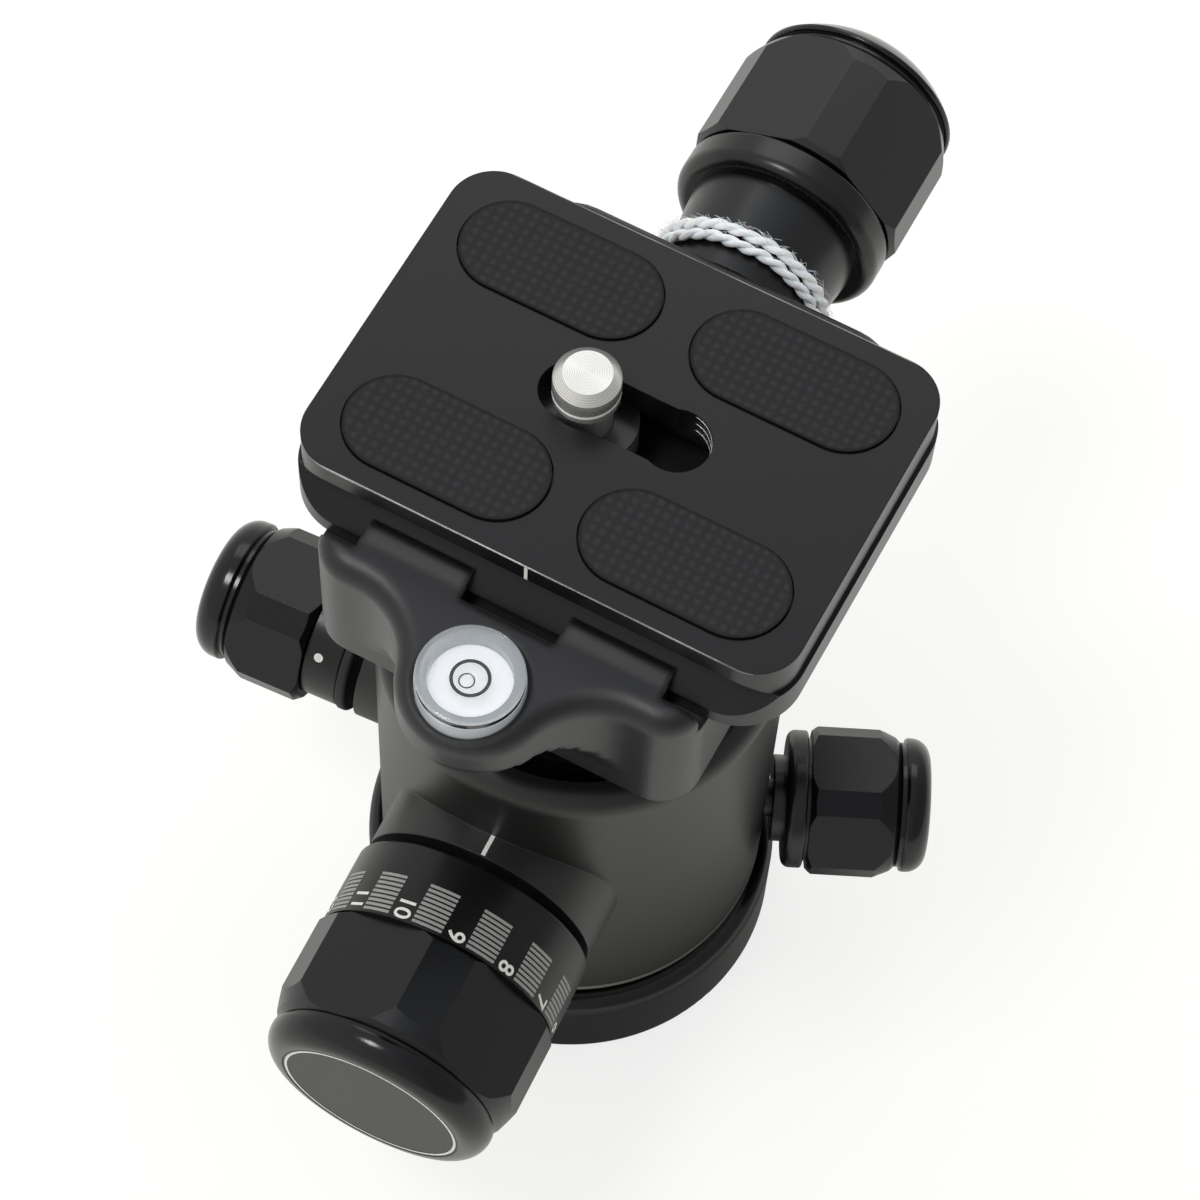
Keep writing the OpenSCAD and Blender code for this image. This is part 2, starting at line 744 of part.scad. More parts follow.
module main_grip() {
    color("#2c2c2e") on_axis(main_angle, main_up) {
        grip(main_grip_d, main_grip_s, main_grip_l, main_facet_turn, main_shaft_d / 2);
        difference() {
            bar(hub_r, dial_s + 0.4, main_grip_s);
            bar(main_shaft_d / 2, dial_s - past, main_grip_s + past);
        }
    }
}

module main_cap() {
    color("#2a2a2c") on_axis(main_angle, main_up) difference() {
        knob_cap(main_cap_d, main_cap_s, main_cap_l, main_cap_round);
        bar(face_disc_d / 2, main_end_s - face_disc_t, main_end_s + past);
    }
}

module main_cap_disc() {
    color("#5f5f5c") on_axis(main_angle, main_up)
        bar(face_disc_d / 2, main_end_s - face_disc_t, main_end_s - 0.05);
}

module friction_plug() {
    color("#e3dfd2") difference() {
        on_axis(friction_angle, friction_up) bar(plug_d / 2, ball_d / 4, plug_back_s);
        translate([0, 0, ball_z]) sphere(seat_r);
    }
}

module friction_shaft() {
    color("#b4b4b1") on_axis(friction_angle, friction_up)
        bar(friction_shaft_d / 2, plug_back_s, friction_cap_s - grip_chamfer * 2);
}

module friction_seal() {
    color("#151516") on_axis(friction_angle, friction_up)
        turned_ring(friction_shaft_d / 2, seal_d / 2, seal_s, collar_s, 0.5, 0.3);
}

module friction_collar() {
    color("#3a3a3b") on_axis(friction_angle, friction_up)
        turned_ring(friction_shaft_d / 2, collar_d / 2, collar_s, friction_grip_s, 0.2, 0.2);
}

module friction_grip() {
    color("#2c2c2e") on_axis(friction_angle, friction_up)
        grip(friction_grip_d, friction_grip_s, friction_grip_l, friction_facet_turn, friction_shaft_d / 2);
}

module friction_cap() {
    color("#2a2a2c") on_axis(friction_angle, friction_up)
        knob_cap(friction_cap_d, friction_cap_s, friction_cap_l, friction_cap_round);
}

module pan_brake_pad() {
    color("#e3dfd2") difference() {
        on_axis(pan_lock_angle, pan_lock_up) bar(pad_d / 2, spindle_d / 4, pad_back_s);
        bar(pad_s, housing_z, ledge_z);
    }
}

module pan_shaft() {
    color("#b4b4b1") on_axis(pan_lock_angle, pan_lock_up)
        bar(pan_shaft_d / 2, pad_back_s, pan_cap_s - grip_chamfer * 2);
}

module pan_ring() {
    color("#232325") on_axis(pan_lock_angle, pan_lock_up) {
        turned_ring(pan_shaft_d / 2, pan_stem_d / 2, housing_r + pan_stem_gap, pan_ring_s, 0.2, 0);
        turned_ring(pan_shaft_d / 2, pan_ring_d / 2, pan_ring_s, pan_ring_s + pan_ring_w, 0.9, 0.3);
        turned_ring(pan_shaft_d / 2, pan_ring_d / 2 - 0.8, pan_ring_s + pan_ring_w, pan_grip_s, 0, 0);
    }
}

module pan_grip() {
    color("#2c2c2e") on_axis(pan_lock_angle, pan_lock_up)
        grip(pan_grip_d, pan_grip_s, pan_grip_l, pan_facet_turn, pan_shaft_d / 2);
}

module pan_cap() {
    color("#2a2a2c") on_axis(pan_lock_angle, pan_lock_up)
        knob_cap(pan_cap_d, pan_cap_s, pan_cap_l, pan_cap_round);
}

// right half of the jaw's wavy outline, drawn in by d, from the lobe's tip to the inner wall
function wave(d) =
    let(hollow_y = -clamp_front - hollow_r,
        reach = lobe_r + hollow_r,
        hollow_x = sqrt(pow(reach, 2) - pow(lobe_y + hollow_y, 2)),
        lean = atan2(hollow_y + lobe_y, hollow_x))
    concat(
        arc([0, -lobe_y], lobe_r - d, -90, lean - 6, 16),
        arc([hollow_x, hollow_y], hollow_r + d, 174 + lean, 90, 9),
        arc([clamp_hw - corner_r, corner_r - clamp_front], corner_r - d, -90, 0, 8));

// whole outline: the mirrored left half, then the right half without the shared tip
function jaw_outline(d) =
    let(half = concat(wave(d), [[clamp_hw - d, clamp_split]]))
    concat(mirrored(half), [for (i = [1:len(half) - 1]) half[i]]);
// the same outline, cut off along a straight front at that depth
function cut_outline(d, depth) = [for (p = jaw_outline(d)) [p[0], max(p[1], d - depth)]];
// a ring of points on a level that falls towards the lobe
function at_fall(points, z) = [for (p = points) [p[0], p[1], z + jaw_fall * (p[1] + clamp_front)]];

// the clamp body's block, which swells out into the lobe
module clamp_block() {
    steps = 9;
    round_steps = 6;
    lip_z = clamp_z + lip_h;
    swell = lobe_y + lobe_r - clamp_front;
    round_z = jaw_top - jaw_round;
    loft(concat(
        [at_height(cut_outline(0.4, clamp_front), clamp_z)],
        [at_height(cut_outline(0, clamp_front), clamp_z + 0.4)],
        [for (i = [0:steps]) let(a = 90 * i / steps)
            at_height(cut_outline(0, clamp_front + swell * (1 - cos(a))), lip_z + lip_rise * sin(a))],
        [for (i = [0:round_steps]) let(a = 90 * i / round_steps)
            at_fall(jaw_outline(jaw_round * (1 - cos(a))), round_z + jaw_round * sin(a))]));
}

// plan of the room for the plate, with the notches beside the tabs
module plate_room() {
    wall = jaw_wall_y;
    notch = jaw_wall_y - notch_depth;
    half = [[2 * clamp_hw, 2 * clamp_split], [2 * clamp_hw, notch], [notch_out, notch], [notch_out, wall],
            [notch_mid, wall], [notch_mid, notch]];
    polygon(concat(turned_round(mirrored(half)), turned_round(half)));
}

// lip over the dovetail's flank, as a bar along the jaw, rooted in the wall behind it
module tab(from, to) {
    root = 1.8;
    bottom = plate_z + low_wall + flank_gap - flank_slope * fixed_gap;
    tip = bottom + flank_slope * tab_reach;
    translate([from, jaw_wall_y, 0]) rotate([90, 0, 90]) linear_extrude(to - from)
        polygon([[-root, bottom - flank_slope * root], [tab_reach, tip], [tab_reach, tip + 0.3],
                 [-root, jaw_top + 0.1]]);
}

module clamp_body() {
    color("#303032") difference() {
        union() {
            difference() {
                clamp_block();
                translate([0, 0, floor_z]) linear_extrude(3 * jaw_h) plate_room();
            }
            for (side = [0, 1]) mirror([side, 0, 0]) tab(notch_mid + 0.1, notch_out - 0.1);
        }
        translate([0, -lobe_y - level_offset, 0]) bar(level_d / 2 + 0.05, level_z, jaw_top + past);
        neck_screw_form(0);
        on_clamp_axis() bar(clamp_screw_d / 2 + fit, clamp_split - jaw_travel - 3, clamp_split + past);
        for (x = [-pin_x, pin_x]) on_clamp_axis(x) {
            bar(pin_d / 2, 0, clamp_split + past);
            bar(spring_r + spring_wall + 0.2, clamp_split - pocket_depth, clamp_split + past);
        }
    }
}

// height of the underside of the level's cup
level_z = jaw_top + level_proud - lens_t - level_cup_h;

// the countersunk screw's shape, widened by a clearance
module neck_screw_form(gap) {
    head_h = (neck_screw_head - neck_screw_d) / 2;
    bar(neck_screw_d / 2 + gap, floor_z - neck_screw_l, floor_z);
    translate([0, 0, floor_z - head_h]) cylinder(h = head_h, r1 = neck_screw_d / 2, r2 = neck_screw_head / 2);
}

module neck_screw() {
    color("#8d8d8a") difference() {
        neck_screw_form(0);
        translate([0, 0, floor_z - 2]) cylinder(h = 3, r = 1.9, $fn = 6);
    }
}

module guide_pins() {
    color("#c4c4c1") for (x = [-pin_x, pin_x]) on_clamp_axis(x)
        bar(pin_d / 2, 0, moving_back - 3);
}

module jaw_springs() {
    color("#b8b8b4") for (x = [-pin_x, pin_x]) on_clamp_axis(x) difference() {
        bar(spring_r + spring_wall, clamp_split - pocket_depth, moving_front + pocket_depth - 0.2);
        bar(spring_r, clamp_split - pocket_depth - past, moving_front + pocket_depth);
    }
}

// moving jaw's plan, drawn in by d at the ends and the back
function moving_outline(d) =
    let(corner = moving_corner_r,
        half = concat([[moving_hw - d, moving_front]],
                      arc([moving_hw - corner, moving_back - corner], corner - d, 0, 90, 8)))
    concat(half, mirrored(half));

module moving_jaw() {
    wall_y = plate_y + dovetail_half + moving_gap;
    bottom = plate_z + low_wall + flank_gap - flank_slope * moving_gap;
    tip = bottom + flank_slope * tab_reach;
    edge = 1.2;
    color("#303032") difference() {
        loft(concat(
            [at_height(moving_outline(0.5), clamp_z)],
            [at_height(moving_outline(0), clamp_z + 0.5)],
            [for (i = [0:4]) let(a = 90 * i / 4)
                at_height(moving_outline(edge * (1 - cos(a))), jaw_top + edge * (sin(a) - 1))]));
        rotate([90, 0, 90]) translate([0, 0, -plate_l]) linear_extrude(2 * plate_l)
            polygon([[0, floor_z], [wall_y, floor_z], [wall_y, bottom], [wall_y - tab_reach, tip],
                     [wall_y - tab_reach, jaw_top + past], [0, jaw_top + past]]);
        on_clamp_axis() bar(clamp_screw_d / 2 + fit, 0, moving_back + past);
        for (x = [-pin_x, pin_x]) on_clamp_axis(x) {
            bar(pin_d / 2 + fit, 0, moving_back - 2.8);
            bar(spring_r + spring_wall + 0.2, 0, moving_front + pocket_depth);
        }
    }
}

module clamp_screw() {
    color("#b4b4b1") on_clamp_axis()
        bar(clamp_screw_d / 2, clamp_split - jaw_travel - 2.8, clamp_cap_y - grip_chamfer * 2);
}

module clamp_neck() {
    color("#2e2e30") on_clamp_axis() difference() {
        translate([0, 0, knob_neck_y])
            cylinder(h = knob_neck_l, d1 = knob_neck_d0, d2 = knob_neck_d1);
        bar(clamp_screw_d / 2, knob_neck_y - past, knob_ring_y + past);
    }
}

module clamp_ring() {
    grip_y = knob_ring_y + knob_ring_w;
    color("#232325") on_clamp_axis() {
        turned_ring(clamp_screw_d / 2, knob_ring_d / 2, knob_ring_y, grip_y, 1.4, 0.3);
        turned_ring(clamp_screw_d / 2, knob_ring_d / 2 - 1, grip_y, clamp_grip_y, 0, 0);
    }
}

module clamp_grip() {
    color("#2c2c2e") on_clamp_axis()
        grip(clamp_grip_d, clamp_grip_y, clamp_grip_l, clamp_facet_turn, clamp_screw_d / 2);
}

module clamp_cap() {
    color("#2a2a2c") on_clamp_axis() intersection() {
        knob_cap(clamp_cap_d, clamp_cap_y, clamp_cap_l, clamp_cap_round);
        translate([0, 0, clamp_cap_y + clamp_cap_l - clamp_dome_r]) sphere(clamp_dome_r);
    }
}

// the string's centre line: two turns that climb the knob's neck
string_turns = 2;
string_rings = 56;
function neck_r_at(s) = (knob_neck_d0 + (knob_neck_d1 - knob_neck_d0) * s / knob_neck_l) / 2;
function string_point(t) =
    let(s = string_start + string_step * string_turns * t,
        r = neck_r_at(s) + string_d / 2 + 0.05,
        a = 360 * string_turns * t + 90)
    [r * cos(a), r * sin(a), knob_neck_y + s];

module tag_string() {
    sides = 8;
    color("#f2f1ee") on_clamp_axis() loft([for (k = [0:string_rings])
        let(p = string_point(k / string_rings),
            out = [p[0], p[1], 0] / norm([p[0], p[1]]))
        [for (i = [0:sides - 1]) let(a = -360 * i / sides)
            p + string_d / 2 * (cos(a) * out + [0, 0, sin(a)])]]);
}

module level_cup() {
    color("#d9dddc") translate([0, -lobe_y - level_offset, 0]) difference() {
        bar(level_d / 2, level_z, level_z + level_cup_h);
        bar(level_d / 2 - level_wall, level_z + level_floor, level_z + level_cup_h + past);
    }
}

module level_disc() {
    color("#f4f4f2") translate([0, -lobe_y - level_offset, 0])
        bar(level_d / 2 - level_wall - 0.1, level_z + level_floor, level_z + level_floor + level_disc_t);
}

module level_lens() {
    color("#e6eaea") translate([0, -lobe_y - level_offset, 0])
        turned_ring(0, level_d / 2 - 0.1, level_z + level_cup_h, level_z + level_cup_h + lens_t, 0, 0.3);
}

// section of the plate across its length: dovetail grooves on both long sides
module plate_section() {
    half = [[dovetail_half, 0], [dovetail_half, low_wall], [groove_half, groove_up],
            [plate_w / 2, plate_t - top_wall], [plate_w / 2, plate_t]];
    polygon(concat(half, mirrored(half)));
}

module plate() {
    color("#38393b") translate([plate_x, plate_y, plate_z]) difference() {
        intersection() {
            rotate([90, 0, 90]) translate([0, 0, -plate_low_l]) linear_extrude(2 * plate_low_l)
                plate_section();
            union() {
                linear_extrude(groove_up) round_rect(plate_low_l, dovetail_w, plate_low_corner);
                translate([0, 0, groove_up]) linear_extrude(plate_t - groove_up)
                    round_rect(plate_l, plate_w, plate_corner);
            }
        }
        translate([slot_x, 0, -past]) linear_extrude(plate_t + 2 * past) stadium(slot_l, slot_w);
        translate([slot_x, 0, -past]) linear_extrude(plate_t - slot_t + past)
            stadium(slot_l + channel_w - slot_w + 1, channel_w);
        translate([slot_x + (slot_l - slot_w) / 2, 0, 0])
            bar(camera_d / 2 + 0.1, plate_t - slot_t - past, plate_t + past);
        for (x = [-pad_x, pad_x]) for (y = [-pad_y, pad_y])
            translate([x, y, plate_t - pad_sink]) linear_extrude(pad_sink + past)
                stadium(pad_len + 0.3, pad_w + 0.3);
    }
}

module plate_pads() {
    color("#262627") translate([plate_x, plate_y, plate_top - pad_sink])
        for (x = [-pad_x, pad_x]) for (y = [-pad_y, pad_y])
            translate([x, y, 0]) linear_extrude(pad_sink + pad_proud) stadium(pad_len, pad_w);
}

module stop_screws() {
    color("#8d8d8a") for (side = [-1, 1]) translate([plate_x + side * stop_x, plate_y, 0]) difference() {
        bar(stop_d / 2, plate_z - stop_h, plate_z);
        translate([0, 0, plate_z - stop_h - past]) cylinder(h = past + 0.7, r = stop_d / 5, $fn = 6);
    }
}

module camera_washer() {
    color("#e3dfd2") translate([plate_x + camera_x, plate_y, camera_head_z + camera_head_h]) difference() {
        bar(camera_head_d / 2, 0, camera_washer_t);
        bar(camera_neck_d / 2 + fit, -past, camera_washer_t + past);
    }
}

module camera_screw() {
    thread_z = plate_top + camera_relief;
    top = plate_top + camera_proud;
    tip = 0.9;
    color("#d6d6d4") translate([plate_x + camera_x, plate_y, 0]) difference() {
        union() {
            bar(camera_head_d / 2, camera_head_z, camera_head_z + camera_head_h);
            bar(camera_neck_d / 2, camera_head_z, thread_z);
            bar(camera_d / 2, thread_z, top - tip);
            translate([0, 0, top - tip]) cylinder(h = tip, r1 = camera_d / 2, r2 = camera_d / 2 - tip);
        }
        translate([-camera_head_d, -0.7, camera_head_z - past]) cube([2 * camera_head_d, 1.4, past + 1.6]);
    }
}

pan_base();
thread_bush();
spindle_retainer();
retainer_screws();
friction_washer();
housing();
spindle_insert();
cup_spring();
ball_cup();
ball();
brake_shoe();
main_shaft();
dial_sleeve();
main_grip();
main_cap();
main_cap_disc();
friction_plug();
friction_shaft();
friction_seal();
friction_collar();
friction_grip();
friction_cap();
pan_brake_pad();
pan_shaft();
pan_ring();
pan_grip();
pan_cap();
clamp_body();
neck_screw();
guide_pins();
jaw_springs();
moving_jaw();
clamp_screw();
clamp_neck();
clamp_ring();
clamp_grip();
clamp_cap();
tag_string();
level_cup();
level_disc();
level_lens();
plate();
plate_pads();
stop_screws();
camera_washer();
camera_screw();
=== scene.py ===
import bpy
import math
import random
from mathutils import Matrix, Vector


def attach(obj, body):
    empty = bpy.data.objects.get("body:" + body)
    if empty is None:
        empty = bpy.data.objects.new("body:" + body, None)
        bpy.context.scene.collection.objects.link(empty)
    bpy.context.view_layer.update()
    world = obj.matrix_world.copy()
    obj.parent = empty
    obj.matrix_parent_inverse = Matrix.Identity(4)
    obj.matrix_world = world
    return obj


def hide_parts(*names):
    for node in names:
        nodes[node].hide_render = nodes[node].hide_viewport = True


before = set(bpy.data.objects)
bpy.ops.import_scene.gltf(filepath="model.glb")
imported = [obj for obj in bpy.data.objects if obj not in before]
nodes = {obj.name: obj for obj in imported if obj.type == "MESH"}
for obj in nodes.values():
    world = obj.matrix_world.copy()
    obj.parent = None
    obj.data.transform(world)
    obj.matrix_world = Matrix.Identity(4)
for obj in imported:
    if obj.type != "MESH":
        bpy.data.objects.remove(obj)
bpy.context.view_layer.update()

# ---------------------------------------------------------------------------
# Camera: a long lens, high above the head's front right side, looking down
# steeply, so that the plate's top fills the middle of the picture.
mm = 0.001
image_width, focal_length = 1200, 3863.746
sensor_width = 36.0
camera_place = Vector((72.99, -153.61, 393.51))
view_right = Vector((0.8806545, 0.4728168, 0.0298645))
view_down = Vector((0.4327110, -0.7770857, -0.4570546))
view_ahead = Vector((-0.1928958, 0.4154299, -0.8889371))
camera_data = bpy.data.cameras.new("camera")
camera_data.sensor_fit = "HORIZONTAL"
camera_data.sensor_width = sensor_width
camera_data.lens = sensor_width * focal_length / image_width
camera_data.clip_start = 0.01
camera = bpy.data.objects.new("camera", camera_data)
bpy.context.scene.collection.objects.link(camera)
turn = Matrix((view_right, -view_down, -view_ahead)).transposed().to_4x4()
camera.matrix_world = Matrix.Translation(camera_place * mm) @ turn
bpy.context.scene.camera = camera
bpy.context.scene.view_settings.view_transform = "Standard"


# ---------------------------------------------------------------------------
# Studio floor: a plain sweep of white paper under the head. It shows white to
# the camera and keeps a faint shadow.
def add(tree, kind, settings=None, links=None):
    node = tree.nodes.new(kind)
    for name, value in (settings or {}).items():
        if isinstance(name, str) and hasattr(node, name):
            setattr(node, name, value)
        else:
            node.inputs[name].default_value = value
    for name, socket in (links or {}).items():
        tree.links.new(socket, node.inputs[name])
    return node


def srgb(text):
    channels = [int(text[i:i + 2], 16) / 255 for i in (1, 3, 5)]
    linear = [c / 12.92 if c <= 0.04045 else ((c + 0.055) / 1.055) ** 2.4 for c in channels]
    return (*linear, 1.0)


def blank_material(name):
    material = bpy.data.materials.new(name)
    material.use_nodes = True
    material.node_tree.nodes.clear()
    return material, material.node_tree


# Uncoated paper is matt: it has no highlight and its white is even. Most of it
# glows to the camera, as a floor does that is lit from all round.
glow_share = 0.7
shadow_middle, shadow_reach = (0.004, 0.001, 0), 0.1
paper, tree = blank_material("white_studio_paper")
path = add(tree, "ShaderNodeLightPath")
seen = add(tree, "ShaderNodeMath", {"operation": "MAXIMUM"},
           {0: path.outputs["Is Camera Ray"], 1: path.outputs["Is Transmission Ray"]})
share = add(tree, "ShaderNodeMath", {"operation": "MULTIPLY", 1: glow_share}, {0: seen.outputs[0]})
matt = add(tree, "ShaderNodeBsdfDiffuse", {"Color": srgb("#f4f1ea")})
white = add(tree, "ShaderNodeEmission", {"Color": srgb("#ffffff"), "Strength": 1.1})
mix = add(tree, "ShaderNodeMixShader", {},
          {0: share.outputs[0], 1: matt.outputs[0], 2: white.outputs[0]})
# in reflections the paper shows a painted shadow: it glows dark near the base and brighter farther out,
# for the head's own shadow there
place = add(tree, "ShaderNodeTexCoord")
moved = add(tree, "ShaderNodeVectorMath", {"operation": "SUBTRACT", 1: shadow_middle},
            {0: place.outputs["Object"]})
far = add(tree, "ShaderNodeVectorMath", {"operation": "LENGTH"}, {0: moved.outputs["Vector"]})
away = add(tree, "ShaderNodeMapRange", {"From Max": shadow_reach}, {"Value": far.outputs["Value"]})
shade = add(tree, "ShaderNodeValToRGB", {}, {"Fac": away.outputs["Result"]})
stops = shade.color_ramp.elements
for position, level in ((0.25, 0.15), (0.31, 0.5), (0.42, 0.75), (0.62, 1.05)):
    stops.new(position).color = (level, level, level * 0.97, 1)
stops[0].color = stops[1].color
stops[-1].color = stops[-2].color
reflected_painted_shadow = add(tree, "ShaderNodeEmission", {"Strength": 1.0}, {"Color": shade.outputs["Color"]})
mix = add(tree, "ShaderNodeMixShader", {},
          {0: path.outputs["Is Glossy Ray"], 1: mix.outputs[0], 2: reflected_painted_shadow.outputs[0]})
add(tree, "ShaderNodeOutputMaterial", {}, {"Surface": mix.outputs[0]})

bpy.ops.mesh.primitive_plane_add(size=4, location=(0, 0, 0))
floor = bpy.context.object
floor.name = "studio_floor"
floor.data.materials.append(paper)

# ---------------------------------------------------------------------------
# Room: pale walls, brighter on the left, a darker and slightly blue ceiling,
# and a backdrop that is white to the camera. Two softboxes hang in it.
world = bpy.data.worlds.new("studio")
bpy.context.scene.world = world
world.use_nodes = True
tree = world.node_tree
tree.nodes.clear()
path = add(tree, "ShaderNodeLightPath")
place = add(tree, "ShaderNodeTexCoord")
split = add(tree, "ShaderNodeSeparateXYZ", {}, {"Vector": place.outputs["Generated"]})
height = add(tree, "ShaderNodeValToRGB", {}, {"Fac": split.outputs["Z"]})
height.color_ramp.elements[0].position = 0.55
height.color_ramp.elements[0].color = (0.95, 0.94, 0.92, 1)
height.color_ramp.elements[1].position = 0.92
height.color_ramp.elements[1].color = (0.80, 0.83, 0.88, 1)
across = add(tree, "ShaderNodeMapRange",
             {"From Min": -0.3, "From Max": 0.7, "To Min": 0.95, "To Max": 0.45},
             {"Value": split.outputs["X"]})
room = add(tree, "ShaderNodeBackground", {},
           {"Color": height.outputs["Color"], "Strength": across.outputs["Result"]})
backdrop = add(tree, "ShaderNodeBackground", {"Color": srgb("#ffffff"), "Strength": 1.0})
mix = add(tree, "ShaderNodeMixShader", {},
          {0: path.outputs["Is Camera Ray"], 1: room.outputs[0], 2: backdrop.outputs[0]})
add(tree, "ShaderNodeOutputWorld", {}, {"Surface": mix.outputs[0]})

head_middle = Vector((0, 0, 0.05))


def softbox(name, place, size, power):
    light = bpy.data.lights.new(name, "AREA")
    light.shape = "RECTANGLE"
    light.size, light.size_y = size
    light.energy = power
    lamp = bpy.data.objects.new(name, light)
    bpy.context.scene.collection.objects.link(lamp)
    aim = (head_middle - Vector(place)).to_track_quat("-Z", "Y")
    lamp.matrix_world = Matrix.Translation(Vector(place)) @ aim.to_matrix().to_4x4()


softbox("softbox_above_left", (-0.29, -0.33, 1.17), (0.26, 0.26), 4.0)
softbox("softbox_behind", (-0.15, 0.36, 0.50), (0.45, 0.25), 0.5)


# ---------------------------------------------------------------------------
# Pan base and housing: turned from aluminium bar, blasted with fine glass
# beads and anodised black. The housing turns on the base's spindle, and the
# chamfer at its foot was cut after anodising, so it is bare metal.
def anodised(name, colour, roughness, blast, edge=0.2, bare=None, glaze=1.42):
    # The dyed oxide is a thin dark glaze: near black from above, and a pale veil
    # of the floor at shallow angles. The beads' dimples are too fine to show, so
    # they are drawn 0.35 mm wide, and they break up the highlights. The dye
    # varies a little over 9 mm. Edges are rounded by the radius edge, in mm.
    dimple, cloudy, dye, polish = 0.35, 9.0, 0.08, 0.03
    material, tree = blank_material(name)
    place = add(tree, "ShaderNodeTexCoord")
    grain = add(tree, "ShaderNodeTexNoise",
                {"Scale": 1000 / dimple, "Detail": 3.0, "Roughness": 0.6},
                {"Vector": place.outputs["Object"]})
    cloud = add(tree, "ShaderNodeTexNoise", {"Scale": 1000 / cloudy, "Detail": 2.0},
                {"Vector": place.outputs["Object"]})
    tint = add(tree, "ShaderNodeValToRGB", {}, {"Fac": cloud.outputs["Fac"]})
    for stop, position, level in zip(tint.color_ramp.elements, (0.3, 0.7), (1 - dye, 1 + dye)):
        stop.position = position
        stop.color = (*(c * level for c in srgb(colour)[:3]), 1)
    soft = add(tree, "ShaderNodeMapRange", {"To Min": roughness - polish, "To Max": roughness + polish},
               {"Value": grain.outputs["Fac"]})
    corner = add(tree, "ShaderNodeBevel", {"samples": 4, "Radius": edge * mm})
    bump = add(tree, "ShaderNodeBump", {"Strength": blast, "Distance": 0.02 * mm},
               {"Height": grain.outputs["Fac"], "Normal": corner.outputs["Normal"]})
    surface = add(tree, "ShaderNodeBsdfPrincipled", {"IOR": glaze},
                  {"Base Color": tint.outputs["Color"], "Roughness": soft.outputs["Result"],
                   "Normal": bump.outputs["Normal"]})
    if bare:
        # bare aluminium: bright, with a clear highlight
        metal = add(tree, "ShaderNodeBsdfPrincipled",
                    {"Base Color": srgb("#c9c7c0"), "Metallic": 1.0, "Roughness": 0.3},
                    {"Normal": corner.outputs["Normal"]})
        surface = add(tree, "ShaderNodeMixShader", {},
                      {0: bare(tree, place), 1: surface.outputs[0], 2: metal.outputs[0]})
    add(tree, "ShaderNodeOutputMaterial", {}, {"Surface": surface.outputs[0]})
    return material


def dress(material, *names):
    for name in names:
        mesh = nodes[name].data
        mesh.materials.clear()
        mesh.materials.append(material)


foot_top, foot_radius = 13.85, 19.65


def foot_chamfer(tree, place):
    # the chamfer and the first 0.75 mm of the wall above it
    split = add(tree, "ShaderNodeSeparateXYZ", {}, {"Vector": place.outputs["Object"]})
    flat = add(tree, "ShaderNodeVectorMath", {"operation": "MULTIPLY", 1: (1, 1, 0)},
               {0: place.outputs["Object"]})
    radius = add(tree, "ShaderNodeVectorMath", {"operation": "LENGTH"}, {0: flat.outputs["Vector"]})
    outside = add(tree, "ShaderNodeMath", {"operation": "GREATER_THAN", 1: foot_radius * mm},
                  {0: radius.outputs["Value"]})
    low = add(tree, "ShaderNodeMath", {"operation": "LESS_THAN", 1: foot_top * mm},
              {0: split.outputs["Z"]})
    return add(tree, "ShaderNodeMath", {"operation": "MULTIPLY"},
               {0: low.outputs[0], 1: outside.outputs[0]}).outputs[0]


# The base is blasted lightly and keeps a gloss; the housing is blasted more, and
# its reflections are blurred to a soft grey.
dress(anodised("black_anodised_base", "#0a0a0b", 0.2, 0.2), "pan_base")
dress(anodised("grey_anodised_housing", "#171716", 0.40, 0.35, bare=foot_chamfer, glaze=1.5),
      "housing")

# ---------------------------------------------------------------------------
# Ball and inner parts: a ball of hard anodised aluminium in an acetal cup, the
# pan spindle's bearing, and the steel shafts, screws, pins and springs. They
# are turned, wound or moulded, and are seen only in gaps and in the drop notch.

# A wave texture whose scale is this number repeats every millimetre.
wave = 100 * math.pi


def turned_metal(name, colour, roughness, centre=(0, 0, 0), pitch=0.5, streak=0.0, metallic=1.0):
    # A turning tool leaves fine rings round the axis: the shine is broken into
    # thin lines, and with streak above 0 it is drawn out across them. Real rings
    # are finer than pitch, in mm, which is drawn so coarse that they show.
    material, tree = blank_material(name)
    place = add(tree, "ShaderNodeTexCoord")
    centred = add(tree, "ShaderNodeMapping", {"Location": [-c * mm for c in centre]},
                  {"Vector": place.outputs["Object"]})
    rings = add(tree, "ShaderNodeTexWave",
                {"wave_type": "RINGS", "rings_direction": "Z", "Scale": wave / pitch,
                 "Distortion": 0.3}, {"Vector": centred.outputs["Vector"]})
    soft = add(tree, "ShaderNodeMapRange", {"To Min": roughness - 0.04, "To Max": roughness + 0.04},
               {"Value": rings.outputs["Fac"]})
    bump = add(tree, "ShaderNodeBump", {"Strength": 0.08, "Distance": 0.01 * mm},
               {"Height": rings.outputs["Fac"]})
    around = add(tree, "ShaderNodeTangent", {"direction_type": "RADIAL", "axis": "Z"})
    shader = add(tree, "ShaderNodeBsdfPrincipled",
                 {"Base Color": srgb(colour), "Metallic": metallic, "Anisotropic": streak},
                 {"Roughness": soft.outputs["Result"], "Normal": bump.outputs["Normal"],
                  "Tangent": around.outputs["Tangent"]})
    add(tree, "ShaderNodeOutputMaterial", {}, {"Surface": shader.outputs[0]})
    return material


